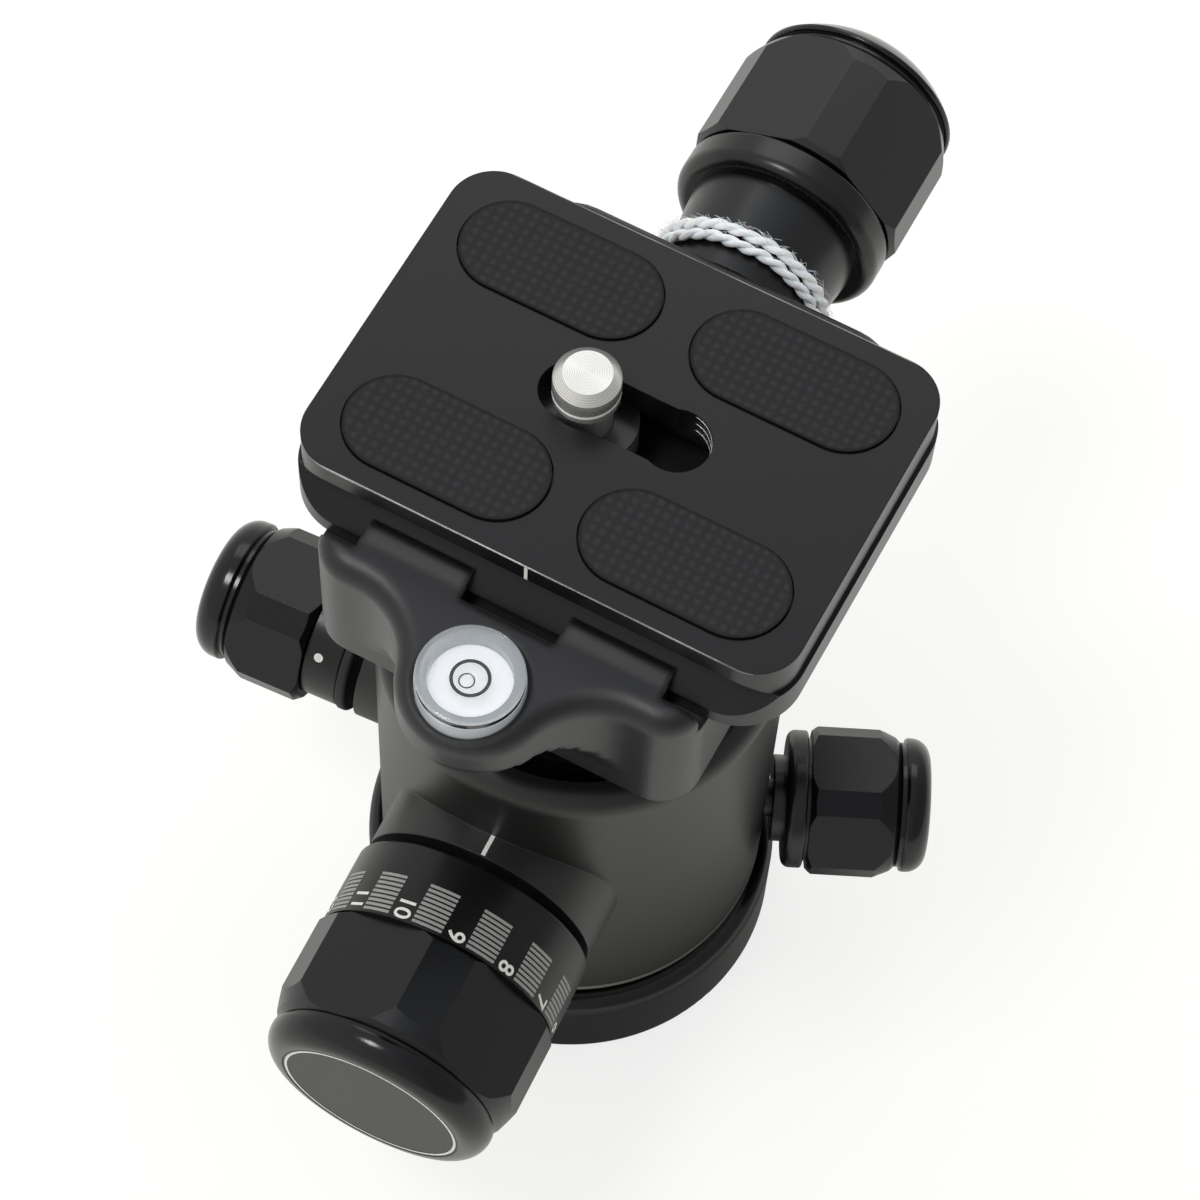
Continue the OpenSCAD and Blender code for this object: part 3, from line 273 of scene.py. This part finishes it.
def moulded(name, colour, roughness, glow=None):
    # A mould's fine grain, 0.6 mm, gives plastic and rubber a broad, even shine.
    # glow, a colour and a strength, is painted light: the plastic glows, as bright as light spreading
    # inside a pale plastic would make it.
    grain_width = 0.6
    material, tree = blank_material(name)
    place = add(tree, "ShaderNodeTexCoord")
    grain = add(tree, "ShaderNodeTexNoise", {"Scale": 1000 / grain_width, "Detail": 2.0},
                {"Vector": place.outputs["Object"]})
    bump = add(tree, "ShaderNodeBump", {"Strength": 0.15, "Distance": 0.02 * mm},
               {"Height": grain.outputs["Fac"]})
    settings = {"Base Color": srgb(colour), "Roughness": roughness}
    if glow:
        settings["Emission Color"], settings["Emission Strength"] = srgb(glow[0]), glow[1]
    shader = add(tree, "ShaderNodeBsdfPrincipled", settings, {"Normal": bump.outputs["Normal"]})
    add(tree, "ShaderNodeOutputMaterial", {}, {"Surface": shader.outputs[0]})
    return material


# bare steel: pale and neutral, with a fairly sharp shine
dress(turned_metal("turned_steel", "#b9b8b4", 0.3), "thread_bush", "spindle_retainer",
      "retainer_screws", "cup_spring", "main_shaft", "friction_shaft", "neck_screw", "guide_pins",
      "jaw_springs", "clamp_screw")
# black oxide, grown on steel in a hot bath: dark, but still with metal's shine
dress(turned_metal("black_oxide_steel", "#3a3a3c", 0.35), "stop_screws", "pan_shaft")
# bare aluminium as it leaves the lathe: paler and softer than steel
dress(turned_metal("plain_turned_aluminium", "#c6c6c3", 0.38), "spindle_insert")
# undyed hard anodising: a grey film under which the metal still shines
dress(turned_metal("hard_anodised_ball", "#7f7f7c", 0.28), "ball")
# acetal, moulded: waxy, black in the pan washer and cream in the brake parts
dress(moulded("black_acetal_washer", "#161617", 0.5), "friction_washer")
dress(moulded("natural_acetal", "#e2ded2", 0.45), "ball_cup", "brake_shoe", "friction_plug",
      "pan_brake_pad")

# ---------------------------------------------------------------------------
# Knobs: grips with milled flats, collars, rings and caps of aluminium, all
# anodised deep black and pressed together on steel shafts. A grey disc is let
# into the main knob's cap, and a rubber ring seals the friction knob.

# Milled flats are hardly blasted, so each one mirrors the room as one patch.
# The friction and pan grips get a copy with a weaker shine, and the clamp knob's grip a copy with a
# stronger shine and a paler black: painted shade and painted light, one anodising made darker or
# brighter to match how each knob is lit.
grip_black = anodised("black_anodised_grip", "#08090c", 0.27, 0.06, edge=0.15)
shaded_small_grip_black = anodised("black_anodised_shaded_small_grip", "#08090c", 0.27, 0.06, edge=0.15, glaze=1.35)
lit_large_grip_black = anodised("black_anodised_lit_large_grip", "#0a0b0d", 0.3, 0.06, edge=0.15, glaze=1.5)
# caps and rings are turned smooth before anodising, and the caps shine most
cap_black = anodised("black_anodised_turned_cap", "#070708", 0.17, 0.04, edge=0.1)
ring_black = anodised("black_anodised_turned_ring", "#070708", 0.27, 0.04, edge=0.1, glaze=1.46)
# collars are blasted a little, and their shine is satin
collar_black = anodised("black_anodised_collar", "#09090a", 0.3, 0.1, edge=0.1)
dress(grip_black, "main_grip")
dress(shaded_small_grip_black, "friction_grip", "pan_grip")
dress(lit_large_grip_black, "clamp_grip", "clamp_neck")
dress(cap_black, "main_cap", "friction_cap", "pan_cap", "clamp_cap")
dress(ring_black, "clamp_ring", "pan_ring")
dress(collar_black, "friction_collar", "dial_sleeve")
# moulded rubber: a dull black line beside the glossier metal
dress(moulded("black_rubber_seal", "#101011", 0.6), "friction_seal")
# the disc is stamped from sheet, blasted and dyed grey: flat and matt
dress(anodised("grey_anodised_disc", "#1e1e1e", 0.5, 0.2, edge=0.05, glaze=1.5), "main_cap_disc")


# ---------------------------------------------------------------------------
# Printed marks: white numbers and fields of fine grey lines round the main
# knob's dial, an index line on its boss, a circle on its cap and a dot on the
# friction collar, screen-printed in paint and laid round the metal.
def print_paint(name, colour):
    # Screen-printed paint dries matt, and small specks of the dark metal show
    # through it, so that it is duller than a sticker.
    speckle = 0.25
    material, tree = blank_material(name)
    place = add(tree, "ShaderNodeTexCoord")
    speck = add(tree, "ShaderNodeTexNoise", {"Scale": 1000 / speckle, "Detail": 2.0},
                {"Vector": place.outputs["Object"]})
    tint = add(tree, "ShaderNodeValToRGB", {}, {"Fac": speck.outputs["Fac"]})
    for stop, position, level in zip(tint.color_ramp.elements, (0.25, 0.6), (0.8, 1)):
        stop.position = position
        stop.color = (*(c * level for c in srgb(colour)[:3]), 1)
    shader = add(tree, "ShaderNodeBsdfPrincipled", {"Roughness": 0.6},
                 {"Base Color": tint.outputs["Color"]})
    add(tree, "ShaderNodeOutputMaterial", {}, {"Surface": shader.outputs[0]})
    return material


white_print = print_paint("white_screen_print", "#e9e8e2")
grey_print = print_paint("grey_screen_print", "#9a9a96")


def fresh():
    bpy.ops.object.select_all(action="DESELECT")


def take(piece):
    fresh()
    piece.select_set(True)
    bpy.context.view_layer.objects.active = piece


def apply_place(piece):
    take(piece)
    bpy.ops.object.transform_apply(location=True, rotation=True, scale=True)


def join(pieces, name):
    fresh()
    for piece in pieces:
        piece.select_set(True)
    bpy.context.view_layer.objects.active = pieces[0]
    bpy.ops.object.join()
    pieces[0].name = name
    return pieces[0]


def wrap(piece, centre, out, radius):
    # flat artwork (x round the knob, y along its axis, z off the surface) is
    # bent round a knob whose axis leaves centre along out
    up = Vector((0, 0, 1))
    side = out.cross(up)
    for vertex in piece.data.vertices:
        x, y, z = vertex.co / mm
        r = radius + z
        a = x / radius
        vertex.co = (centre + out * y + up * r * math.cos(a) + side * r * math.sin(a)) * mm
    piece.data.update()


def way(angle):
    return Vector((math.cos(math.radians(angle)), math.sin(math.radians(angle)), 0))


def finish(piece, material, body):
    piece.data.materials.clear()
    piece.data.materials.append(material)
    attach(piece, body)


paint = 0.03
main_out, main_centre = way(-87.5), Vector((0, 0, 36.6))
dial_radius, number_pitch = 12.7, 26.45
degree = math.radians(1) * dial_radius

# one hatched field is nine lines 0.5 mm apart; twelve fields go round
field_turn, field_out, field_width = 57.5, 27.75, 14.4
line_pitch, line_width, lines, fields_round = 0.5, 0.31, 9, 12
fresh()
bpy.ops.mesh.primitive_grid_add(x_subdivisions=8, y_subdivisions=1, size=1,
                                location=(field_turn * degree * mm, field_out * mm, paint * mm))
fields = bpy.context.object
fields.name = "dial_hatched_fields"
fields.scale = (field_width * degree * mm, line_width * mm, 1)
apply_place(fields)
for name, count, step in (("lines", lines, (0, line_pitch * mm, 0)),
                          ("fields", fields_round, (-number_pitch * degree * mm, 0, 0))):
    array = fields.modifiers.new(name, "ARRAY")
    array.count = count
    array.use_relative_offset = False
    array.use_constant_offset = True
    array.constant_offset_displace = step
    bpy.ops.object.modifier_apply(modifier=name)
wrap(fields, main_centre, main_out, dial_radius)
finish(fields, grey_print, "main_knob")

# numbers 1 to 12 stand between the fields and the grip, number 10 near the top
top_number, top_turn, number_out, number_size, boldness = 10, 17.9, 32.05, 2.5, 0.035
digits = []
for number in range(1, 13):
    turn = top_turn + (number - top_number) * number_pitch
    fresh()
    bpy.ops.object.text_add(location=(turn * degree * mm, number_out * mm, paint * mm),
                            rotation=(0, 0, math.pi / 2))
    word = bpy.context.object
    word.data.body = str(number)
    word.data.size = number_size * mm
    word.data.offset = boldness * mm
    word.data.align_x = "RIGHT"
    word.data.align_y = "CENTER"
    bpy.ops.object.convert(target="MESH")
    word = bpy.context.object
    apply_place(word)
    digits.append(word)
digits = join(digits, "dial_numbers")
wrap(digits, main_centre, main_out, dial_radius)
finish(digits, white_print, "main_knob")

# index line along the top of the main knob's boss
boss_radius, index_turn, index_out = 12.3, -2.1, 21.5
fresh()
bpy.ops.mesh.primitive_grid_add(x_subdivisions=2, y_subdivisions=4, size=1,
                                location=(index_turn * math.radians(1) * boss_radius * mm,
                                          index_out * mm, paint * mm))
index_line = bpy.context.object
index_line.name = "boss_index_line"
index_line.scale = (0.42 * mm, 2.3 * mm, 1)
apply_place(index_line)
wrap(index_line, main_centre, main_out, boss_radius)
finish(index_line, white_print, "housing")

# dot on the friction knob's collar
collar_radius, dot_radius, dot_turn, dot_out = 7.2, 0.5, -51.7, 26.6
friction_out, friction_centre = way(184), Vector((0, 0, 33.8))
fresh()
bpy.ops.mesh.primitive_circle_add(vertices=16, radius=dot_radius * mm, fill_type="NGON",
                                  location=(dot_turn * math.radians(1) * collar_radius * mm,
                                            dot_out * mm, paint * mm))
dot = bpy.context.object
dot.name = "collar_dot"
apply_place(dot)
wrap(dot, friction_centre, friction_out, collar_radius)
finish(dot, white_print, "friction_knob")

# circle on the cap: a ring of edges extruded inwards to a band 0.28 mm wide
circle_outside, circle_inside, circle_out = 9.35, 9.07, 46.28
narrower = circle_inside / circle_outside
fresh()
bpy.ops.mesh.primitive_circle_add(vertices=128, radius=circle_outside * mm, fill_type="NOTHING")
circle = bpy.context.object
circle.name = "cap_circle_line"
bpy.ops.object.mode_set(mode="EDIT")
bpy.ops.mesh.select_all(action="SELECT")
bpy.ops.mesh.extrude_edges_move()
bpy.ops.transform.resize(value=(narrower, narrower, 1))
bpy.ops.object.mode_set(mode="OBJECT")
circle.rotation_euler = main_out.to_track_quat("Z", "Y").to_euler()
circle.location = (main_centre + main_out * circle_out) * mm
apply_place(circle)
finish(circle, white_print, "main_knob")

# ---------------------------------------------------------------------------
# Clamp: a body and a moving jaw, milled from aluminium with well rounded edges.
# A countersunk screw holds the body on the ball's neck, and the clamp knob
# draws the jaw in along two pins.

# Blasted and anodised black: matt, with its edges softly lit by the room.
dress(anodised("black_anodised_clamp", "#101012", 0.38, 0.35, edge=1.0, glaze=1.5),
      "clamp_body", "moving_jaw")

# ---------------------------------------------------------------------------
# String: soft white cotton, two strands twisted together and tied twice round
# the neck of the clamp knob, with loose fibres standing off it.
turns, rise, start = 2, 1.3, 1.7
neck_out, neck_height = 27.6, 77.0
neck_thin, neck_thick, neck_length = 15.2, 17.5, 9.8
string_radius, strand_radius, strand_offset = 0.6, 0.37, 0.21
twists, strand_points = 30, 620
fibres, fibre_radius, fibre_root = 700, 0.014, 0.35


def string_middle(t):
    s = start + rise * turns * t
    r = (neck_thin + (neck_thick - neck_thin) * s / neck_length) / 2 + string_radius
    a = 2 * math.pi * turns * t + math.pi / 2
    wobble = 0.05 * math.sin(9 * a) + 0.04 * math.sin(23 * a + 1)
    return Vector((r * math.cos(a), neck_out + s + wobble, neck_height - r * math.sin(a))), a


def string_strand(phase):
    path = []
    for k in range(strand_points + 1):
        t = k / strand_points
        middle, a = string_middle(t)
        out = Vector((math.cos(a), 0, -math.sin(a)))
        along = Vector((0, 1, 0))
        twist = phase + 2 * math.pi * twists * t
        path.append(middle + (out * math.cos(twist) + along * math.sin(twist)) * strand_offset)
    return path


def tubes(name, paths, radius, sides):
    data = bpy.data.curves.new(name, "CURVE")
    data.dimensions = "3D"
    data.bevel_depth = radius * mm
    data.bevel_resolution = sides
    data.use_fill_caps = True
    for path in paths:
        spline = data.splines.new("POLY")
        spline.points.add(len(path) - 1)
        for point, place in zip(spline.points, path):
            point.co = (*(place * mm), 1)
    piece = bpy.data.objects.new(name, data)
    bpy.context.scene.collection.objects.link(piece)
    take(piece)
    bpy.ops.object.convert(target="MESH")
    bpy.ops.object.mode_set(mode="EDIT")
    bpy.ops.mesh.select_all(action="SELECT")
    bpy.ops.mesh.remove_doubles(threshold=0.0005 * mm)
    bpy.ops.object.mode_set(mode="OBJECT")
    return bpy.context.object


strands = tubes("string_strands", [string_strand(0), string_strand(math.pi)], strand_radius, 2)
chance = random.Random(7)
hairs = []
for k in range(fibres):
    middle, a = string_middle(chance.uniform(0.01, 0.99))
    away = Vector((math.cos(a), chance.uniform(-0.9, 1.3), -math.sin(a))).normalized()
    along = Vector((-math.sin(a), 0, -math.cos(a))) * chance.choice((-1, 1))
    reach = chance.uniform(0.3, 0.75)
    drift = chance.uniform(0.2, 1.4)
    hairs.append([middle + away * (fibre_root + reach * f) + along * drift * f * f
                  for f in (0, 0.35, 0.7, 1.0)])
fuzz = tubes("string_fuzz", hairs, fibre_radius, 0)
string = join([strands, fuzz], "tied_string")

# Bleached cotton, spun and twisted: matt, with light soaking into it and a pale
# sheen at its sides from the fibres.
spun = 0.3
cotton, tree = blank_material("white_cotton_string")
place = add(tree, "ShaderNodeTexCoord")
fibre = add(tree, "ShaderNodeTexNoise", {"Scale": 1000 / spun, "Detail": 4.0, "Roughness": 0.7},
            {"Vector": place.outputs["Object"]})
tint = add(tree, "ShaderNodeValToRGB", {}, {"Fac": fibre.outputs["Fac"]})
tint.color_ramp.elements[0].position = 0.3
tint.color_ramp.elements[0].color = srgb("#f0f1f4")
tint.color_ramp.elements[1].position = 0.65
tint.color_ramp.elements[1].color = srgb("#ffffff")
bump = add(tree, "ShaderNodeBump", {"Strength": 0.5, "Distance": 0.05 * mm},
           {"Height": fibre.outputs["Fac"]})
shader = add(tree, "ShaderNodeBsdfPrincipled",
             {"Roughness": 0.9, "Sheen Weight": 0.8, "Subsurface Weight": 0.25,
              "Subsurface Scale": 0.6 * mm},
             {"Base Color": tint.outputs["Color"], "Normal": bump.outputs["Normal"]})
add(tree, "ShaderNodeOutputMaterial", {}, {"Surface": shader.outputs[0]})
finish(string, cotton, "clamp_knob")
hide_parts("tag_string")


# ---------------------------------------------------------------------------
# Bubble level: a round vial of milky acrylic with a white core, pressed into
# the clamp's lobe. A black ring is printed on the core, and an air bubble sits
# under the clear lens.
def close_up(smooth_angle, fill=True):
    # in edit mode: doubles merged, ends filled, faces turned outwards
    bpy.ops.mesh.select_all(action="SELECT")
    bpy.ops.mesh.remove_doubles(threshold=0.002 * mm)
    if fill:
        bpy.ops.mesh.fill_holes(sides=0)
    bpy.ops.mesh.select_all(action="SELECT")
    bpy.ops.mesh.normals_make_consistent(inside=False)
    bpy.ops.object.mode_set(mode="OBJECT")
    bpy.ops.object.shade_smooth_by_angle(angle=math.radians(smooth_angle))


def turned(name, profile, centre, steps=96, closed=False):
    # a ring of edges is drawn out along the half section (radius, height); an
    # open section starts and ends on the axis with a flat cap
    rings = [point for point in profile if point[0] > 0]
    x, y = centre[0] * mm, centre[1] * mm
    fresh()
    bpy.ops.mesh.primitive_circle_add(vertices=steps, radius=rings[0][0] * mm, fill_type="NOTHING",
                                      location=(x, y, rings[0][1] * mm))
    piece = bpy.context.object
    piece.name = name
    bpy.ops.object.mode_set(mode="EDIT")
    bpy.ops.mesh.select_all(action="SELECT")
    for (r0, z0), (r1, z1) in zip(rings, rings[1:] + (rings[:1] if closed else [])):
        bpy.ops.mesh.extrude_edges_move(TRANSFORM_OT_translate={"value": (0, 0, (z1 - z0) * mm)})
        bpy.ops.transform.resize(value=(r1 / r0, r1 / r0, 1), center_override=(x, y, z1 * mm))
    close_up(35, fill=not closed)
    apply_place(piece)
    return piece


level_centre, bubble_centre = (0, -22.5, 0), (-0.15, -22.9, 0)
# milky acrylic: pale grey, with a faint painted glow that stands in for light spreading in the wall and
# takes away its shadow
milky = moulded("milky_acrylic_vial", "#aeb3b7", 0.2, glow=("#e6ecf0", 0.06))
vial = turned("level_milky_wall",
              [(3.9, 83.5), (5.05, 83.5), (5.05, 86.25), (4.95, 86.3), (3.9, 86.3)],
              level_centre, closed=True)
finish(vial, milky, "clamp")
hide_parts("level_cup")
# white plastic under liquid and lens: nearly pure white, with a painted glow that makes it look lit
# from all sides
white_core = moulded("white_vial_core", "#fbfbfa", 0.35, glow=("#f4f8ff", 0.36))
core = turned("level_white_core",
              [(0, 82.0), (5.0, 82.0), (5.0, 83.3), (3.85, 83.45), (3.85, 85.0), (3.75, 85.1),
               (0, 85.1)], level_centre)
finish(core, white_core, "clamp")
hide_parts("level_disc")
# the printed ring and the bubble's rim, where the light bends away, are thin
# dark circles
ring = turned("level_black_ring", [(1.55, 86.06), (1.88, 86.06), (1.88, 86.1), (1.55, 86.1)],
              level_centre, 64, True)
finish(ring, moulded("black_vial_ring", "#050506", 0.5), "clamp")
bubble = turned("level_bubble_edge", [(0.62, 86.12), (0.7, 86.15), (0.77, 86.12), (0.7, 86.09)],
                bubble_centre, 48, True)
finish(bubble, moulded("bubble_rim", "#2e3134", 0.3), "clamp")

# Clear acrylic, cast and polished: a small sharp highlight, and a faint haze
# where it has been wiped.
lens, tree = blank_material("clear_acrylic_lens")
place = add(tree, "ShaderNodeTexCoord")
haze = add(tree, "ShaderNodeTexNoise", {"Scale": 1000 / 2.0}, {"Vector": place.outputs["Object"]})
soft = add(tree, "ShaderNodeMapRange", {"To Min": 0.0, "To Max": 0.04},
           {"Value": haze.outputs["Fac"]})
shader = add(tree, "ShaderNodeBsdfPrincipled",
             {"Base Color": srgb("#ffffff"), "Transmission Weight": 1.0, "IOR": 1.49},
             {"Roughness": soft.outputs["Result"]})
add(tree, "ShaderNodeOutputMaterial", {}, {"Surface": shader.outputs[0]})
dress(lens, "level_lens")

# ---------------------------------------------------------------------------
# Quick-release plate: milled from aluminium and anodised dark grey, with a thin strip of bright bare
# metal drawn along its top edge. Four rubber pads are let into it, and the camera screw's slot has a
# tapped end to wind the screw out.
edge_middle, edge_straight = (0.4, 4.77), (20.75, 13.22)
edge_start, edge_height = 4.49, 91.97


def plate_edge(tree, place):
    # distance outside a rectangle with 4.6 mm corners, 50.7 by 35.6 mm
    moved = add(tree, "ShaderNodeVectorMath",
                {"operation": "SUBTRACT", 1: (edge_middle[0] * mm, edge_middle[1] * mm, 0)},
                {0: place.outputs["Object"]})
    folded = add(tree, "ShaderNodeVectorMath", {"operation": "ABSOLUTE"},
                 {0: moved.outputs["Vector"]})
    # 10 m off the height leaves it below zero, so that only x and y count
    corner = add(tree, "ShaderNodeVectorMath",
                 {"operation": "SUBTRACT", 1: (edge_straight[0] * mm, edge_straight[1] * mm, 10)},
                 {0: folded.outputs["Vector"]})
    corner = add(tree, "ShaderNodeVectorMath", {"operation": "MAXIMUM", 1: (0, 0, 0)},
                 {0: corner.outputs["Vector"]})
    far = add(tree, "ShaderNodeVectorMath", {"operation": "LENGTH"}, {0: corner.outputs["Vector"]})
    rim = add(tree, "ShaderNodeMath", {"operation": "GREATER_THAN", 1: edge_start * mm},
              {0: far.outputs["Value"]})
    split = add(tree, "ShaderNodeSeparateXYZ", {}, {"Vector": place.outputs["Object"]})
    high = add(tree, "ShaderNodeMath", {"operation": "GREATER_THAN", 1: edge_height * mm},
               {0: split.outputs["Z"]})
    edge = add(tree, "ShaderNodeMath", {"operation": "MULTIPLY"},
               {0: rim.outputs[0], 1: high.outputs[0]})
    # the strip is fainter in patches 6 mm long
    patch = add(tree, "ShaderNodeTexNoise", {"Scale": 1000 / 6.0},
                {"Vector": place.outputs["Object"]})
    patchy = add(tree, "ShaderNodeMapRange",
               {"From Min": 0.3, "From Max": 0.7, "To Min": 0.15, "To Max": 0.6},
               {"Value": patch.outputs["Fac"]})
    return add(tree, "ShaderNodeMath", {"operation": "MULTIPLY"},
               {0: edge.outputs[0], 1: patchy.outputs["Result"]}).outputs[0]


# a weaker glaze than the clamp's: the top is an even dark grey with little shine
dress(anodised("dark_anodised_plate", "#101012", 0.34, 0.3, edge=0.15, bare=plate_edge, glaze=1.37),
      "plate")

# Black rubber, moulded against a cloth: a fine square weave that only glints at shallow angles. A
# near-black rim where each pad meets its pocket is painted shadow, for the shade in the narrow gap
# there.
weave_pitch, rubber_grit = 1.05, 0.5
pads_middle, pad_from_middle, pad_straight = (0.4, 4.75), (12.05, 10.7), 5.175
pad_rim_outside, pad_rim_inside = 4.68, 4.58
rubber, tree = blank_material("black_woven_rubber")
place = add(tree, "ShaderNodeTexCoord")
threads = [add(tree, "ShaderNodeTexWave",
               {"wave_type": "BANDS", "bands_direction": axis, "Scale": wave / weave_pitch,
                "Distortion": 0.5, "Detail": 1.0}, {"Vector": place.outputs["Object"]})
           for axis in ("X", "Y")]
weave = add(tree, "ShaderNodeMath", {"operation": "MULTIPLY"},
            {0: threads[0].outputs["Fac"], 1: threads[1].outputs["Fac"]})
grit = add(tree, "ShaderNodeTexNoise", {"Scale": 1000 / rubber_grit, "Detail": 3.0},
           {"Vector": place.outputs["Object"]})
mixed = add(tree, "ShaderNodeMath", {"operation": "MULTIPLY_ADD", 1: 0.35},
            {0: grit.outputs["Fac"], 2: weave.outputs[0]})
# the four pads are folded onto one, and its distance from the pad's middle line tells the rim, painted
# in shadow, from the inside
moved = add(tree, "ShaderNodeVectorMath",
            {"operation": "SUBTRACT", 1: (pads_middle[0] * mm, pads_middle[1] * mm, 0)},
            {0: place.outputs["Object"]})
folded = add(tree, "ShaderNodeVectorMath", {"operation": "ABSOLUTE"}, {0: moved.outputs["Vector"]})
centred = add(tree, "ShaderNodeVectorMath",
              {"operation": "SUBTRACT", 1: (pad_from_middle[0] * mm, pad_from_middle[1] * mm, 0)},
              {0: folded.outputs["Vector"]})
folded = add(tree, "ShaderNodeVectorMath", {"operation": "ABSOLUTE"}, {0: centred.outputs["Vector"]})
ends = add(tree, "ShaderNodeVectorMath",
           {"operation": "SUBTRACT", 1: (pad_straight * mm, 0, 10)}, {0: folded.outputs["Vector"]})
ends = add(tree, "ShaderNodeVectorMath", {"operation": "MAXIMUM", 1: (0, 0, 0)},
           {0: ends.outputs["Vector"]})
far = add(tree, "ShaderNodeVectorMath", {"operation": "LENGTH"}, {0: ends.outputs["Vector"]})
inside = add(tree, "ShaderNodeMapRange",
             {"From Min": pad_rim_outside * mm, "From Max": pad_rim_inside * mm},
             {"Value": far.outputs["Value"]})
tint = add(tree, "ShaderNodeValToRGB", {}, {"Fac": mixed.outputs[0]})
tint.color_ramp.elements[0].position = 0.1
tint.color_ramp.elements[0].color = srgb("#151517")
tint.color_ramp.elements[1].position = 0.9
tint.color_ramp.elements[1].color = srgb("#252528")
# sockets 6 and 7 are this node's two colours
# socket 6's near black is the painted shadow in the gap at each pad's rim
colours = add(tree, "ShaderNodeMix", {"data_type": "RGBA", 6: srgb("#060607")},
              {"Factor": inside.outputs["Result"], 7: tint.outputs["Color"]})
bump = add(tree, "ShaderNodeBump", {"Strength": 0.5, "Distance": 0.12 * mm},
           {"Height": mixed.outputs[0]})
shader = add(tree, "ShaderNodeBsdfPrincipled", {"Roughness": 0.72, "Specular IOR Level": 0.35},
             {"Base Color": colours.outputs[2], "Normal": bump.outputs["Normal"]})
add(tree, "ShaderNodeOutputMaterial", {}, {"Surface": shader.outputs[0]})
dress(rubber, "plate_pads")

# white index line on the plate's front edge
fresh()
bpy.ops.mesh.primitive_grid_add(x_subdivisions=2, y_subdivisions=4, size=1,
                                location=(0.35 * mm, -13.09 * mm, 90.97 * mm),
                                rotation=(math.pi / 2, 0, 0))
mark = bpy.context.object
mark.name = "plate_index_line"
mark.scale = (0.34 * mm, 2.2 * mm, 1)
apply_place(mark)
finish(mark, white_print, "plate")

# crests of the thread in the slot's tapped end: three arcs of bare metal
thread_pitch = 1.27
tap_x, tap_y, tap_radius = 6.0, 4.75, 3.22
arcs = []
for low in (89.2, 90.35, 91.5):
    arcs.append([Vector((tap_x + tap_radius * math.cos(math.radians(a)),
                         tap_y + tap_radius * math.sin(math.radians(a)),
                         low + thread_pitch * a / 360)) for a in range(-70, 86, 5)])
crests = tubes("tapped_slot_crests", arcs, 0.07, 1)
# the crests are drawn in bright bare metal, so that they glint in thin lines
finish(crests, turned_metal("thread_crest_bare_aluminium", "#a9a9a8", 0.35), "plate")


# ---------------------------------------------------------------------------
# Camera screw: turned steel, nickel plated, with its thread rolled on above a
# thinner neck that slides in the plate's slot. A black acetal washer runs
# between its head and the plate.
def screw_shank(name, centre, radius, low, high, run_out, depth):
    # a grid is rolled to a tube whose radius follows the thread, which fades out
    # over the last 0.3 mm below run_out
    flat, fade = 0.68, 0.3
    fresh()
    bpy.ops.mesh.primitive_grid_add(x_subdivisions=96, y_subdivisions=36, size=1)
    piece = bpy.context.object
    piece.name = name
    for vertex in piece.data.vertices:
        a = 2 * math.pi * (vertex.co.x + 0.5)
        z = low + (high - low) * (vertex.co.y + 0.5)
        phase = (z / thread_pitch - a / (2 * math.pi)) % 1
        ridge = abs(phase - 0.5) * 2
        cut = depth * max(0, ridge - flat) / (1 - flat) * min(1, max(0, (run_out - z) / fade))
        r = radius - cut
        vertex.co = ((centre[0] + r * math.cos(a)) * mm, (centre[1] + r * math.sin(a)) * mm, z * mm)
    bpy.ops.object.mode_set(mode="EDIT")
    close_up(40)
    return piece


screw_centre, screw_radius = (-3.2, 4.75, 0), 3.17
shank = screw_shank("camera_screw_thread", screw_centre, screw_radius, 92.85, 94.62, 94.6, 0.35)
head = turned("camera_screw_head",
              [(0, 96.5), (2.3, 96.5), (3.12, 95.68), (screw_radius, 95.6), (screw_radius, 94.6),
               (2.6, 94.5), (2.6, 88.25), (2.65, 88.2), (4.9, 88.2), (5.0, 88.1), (5.0, 84.8),
               (4.8, 84.6), (0, 84.6)], screw_centre)
screw = join([head, shank], "camera_screw_turned")
# Nickel over turned steel: warm and bright, with rings 0.15 mm apart that draw
# the light out across them. It is less than fully metallic, as its worn plating
# scatters some light.
nickel = turned_metal("nickel_plated_steel", "#d8d7d3", 0.3, screw_centre, pitch=0.15, streak=0.75,
                      metallic=0.72)
finish(screw, nickel, "camera_screw")
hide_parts("camera_screw")
# moulded acetal, rubbed smooth by the screw's head: black with a soft shine
dress(moulded("black_acetal_screw_washer", "#141415", 0.25), "camera_washer")
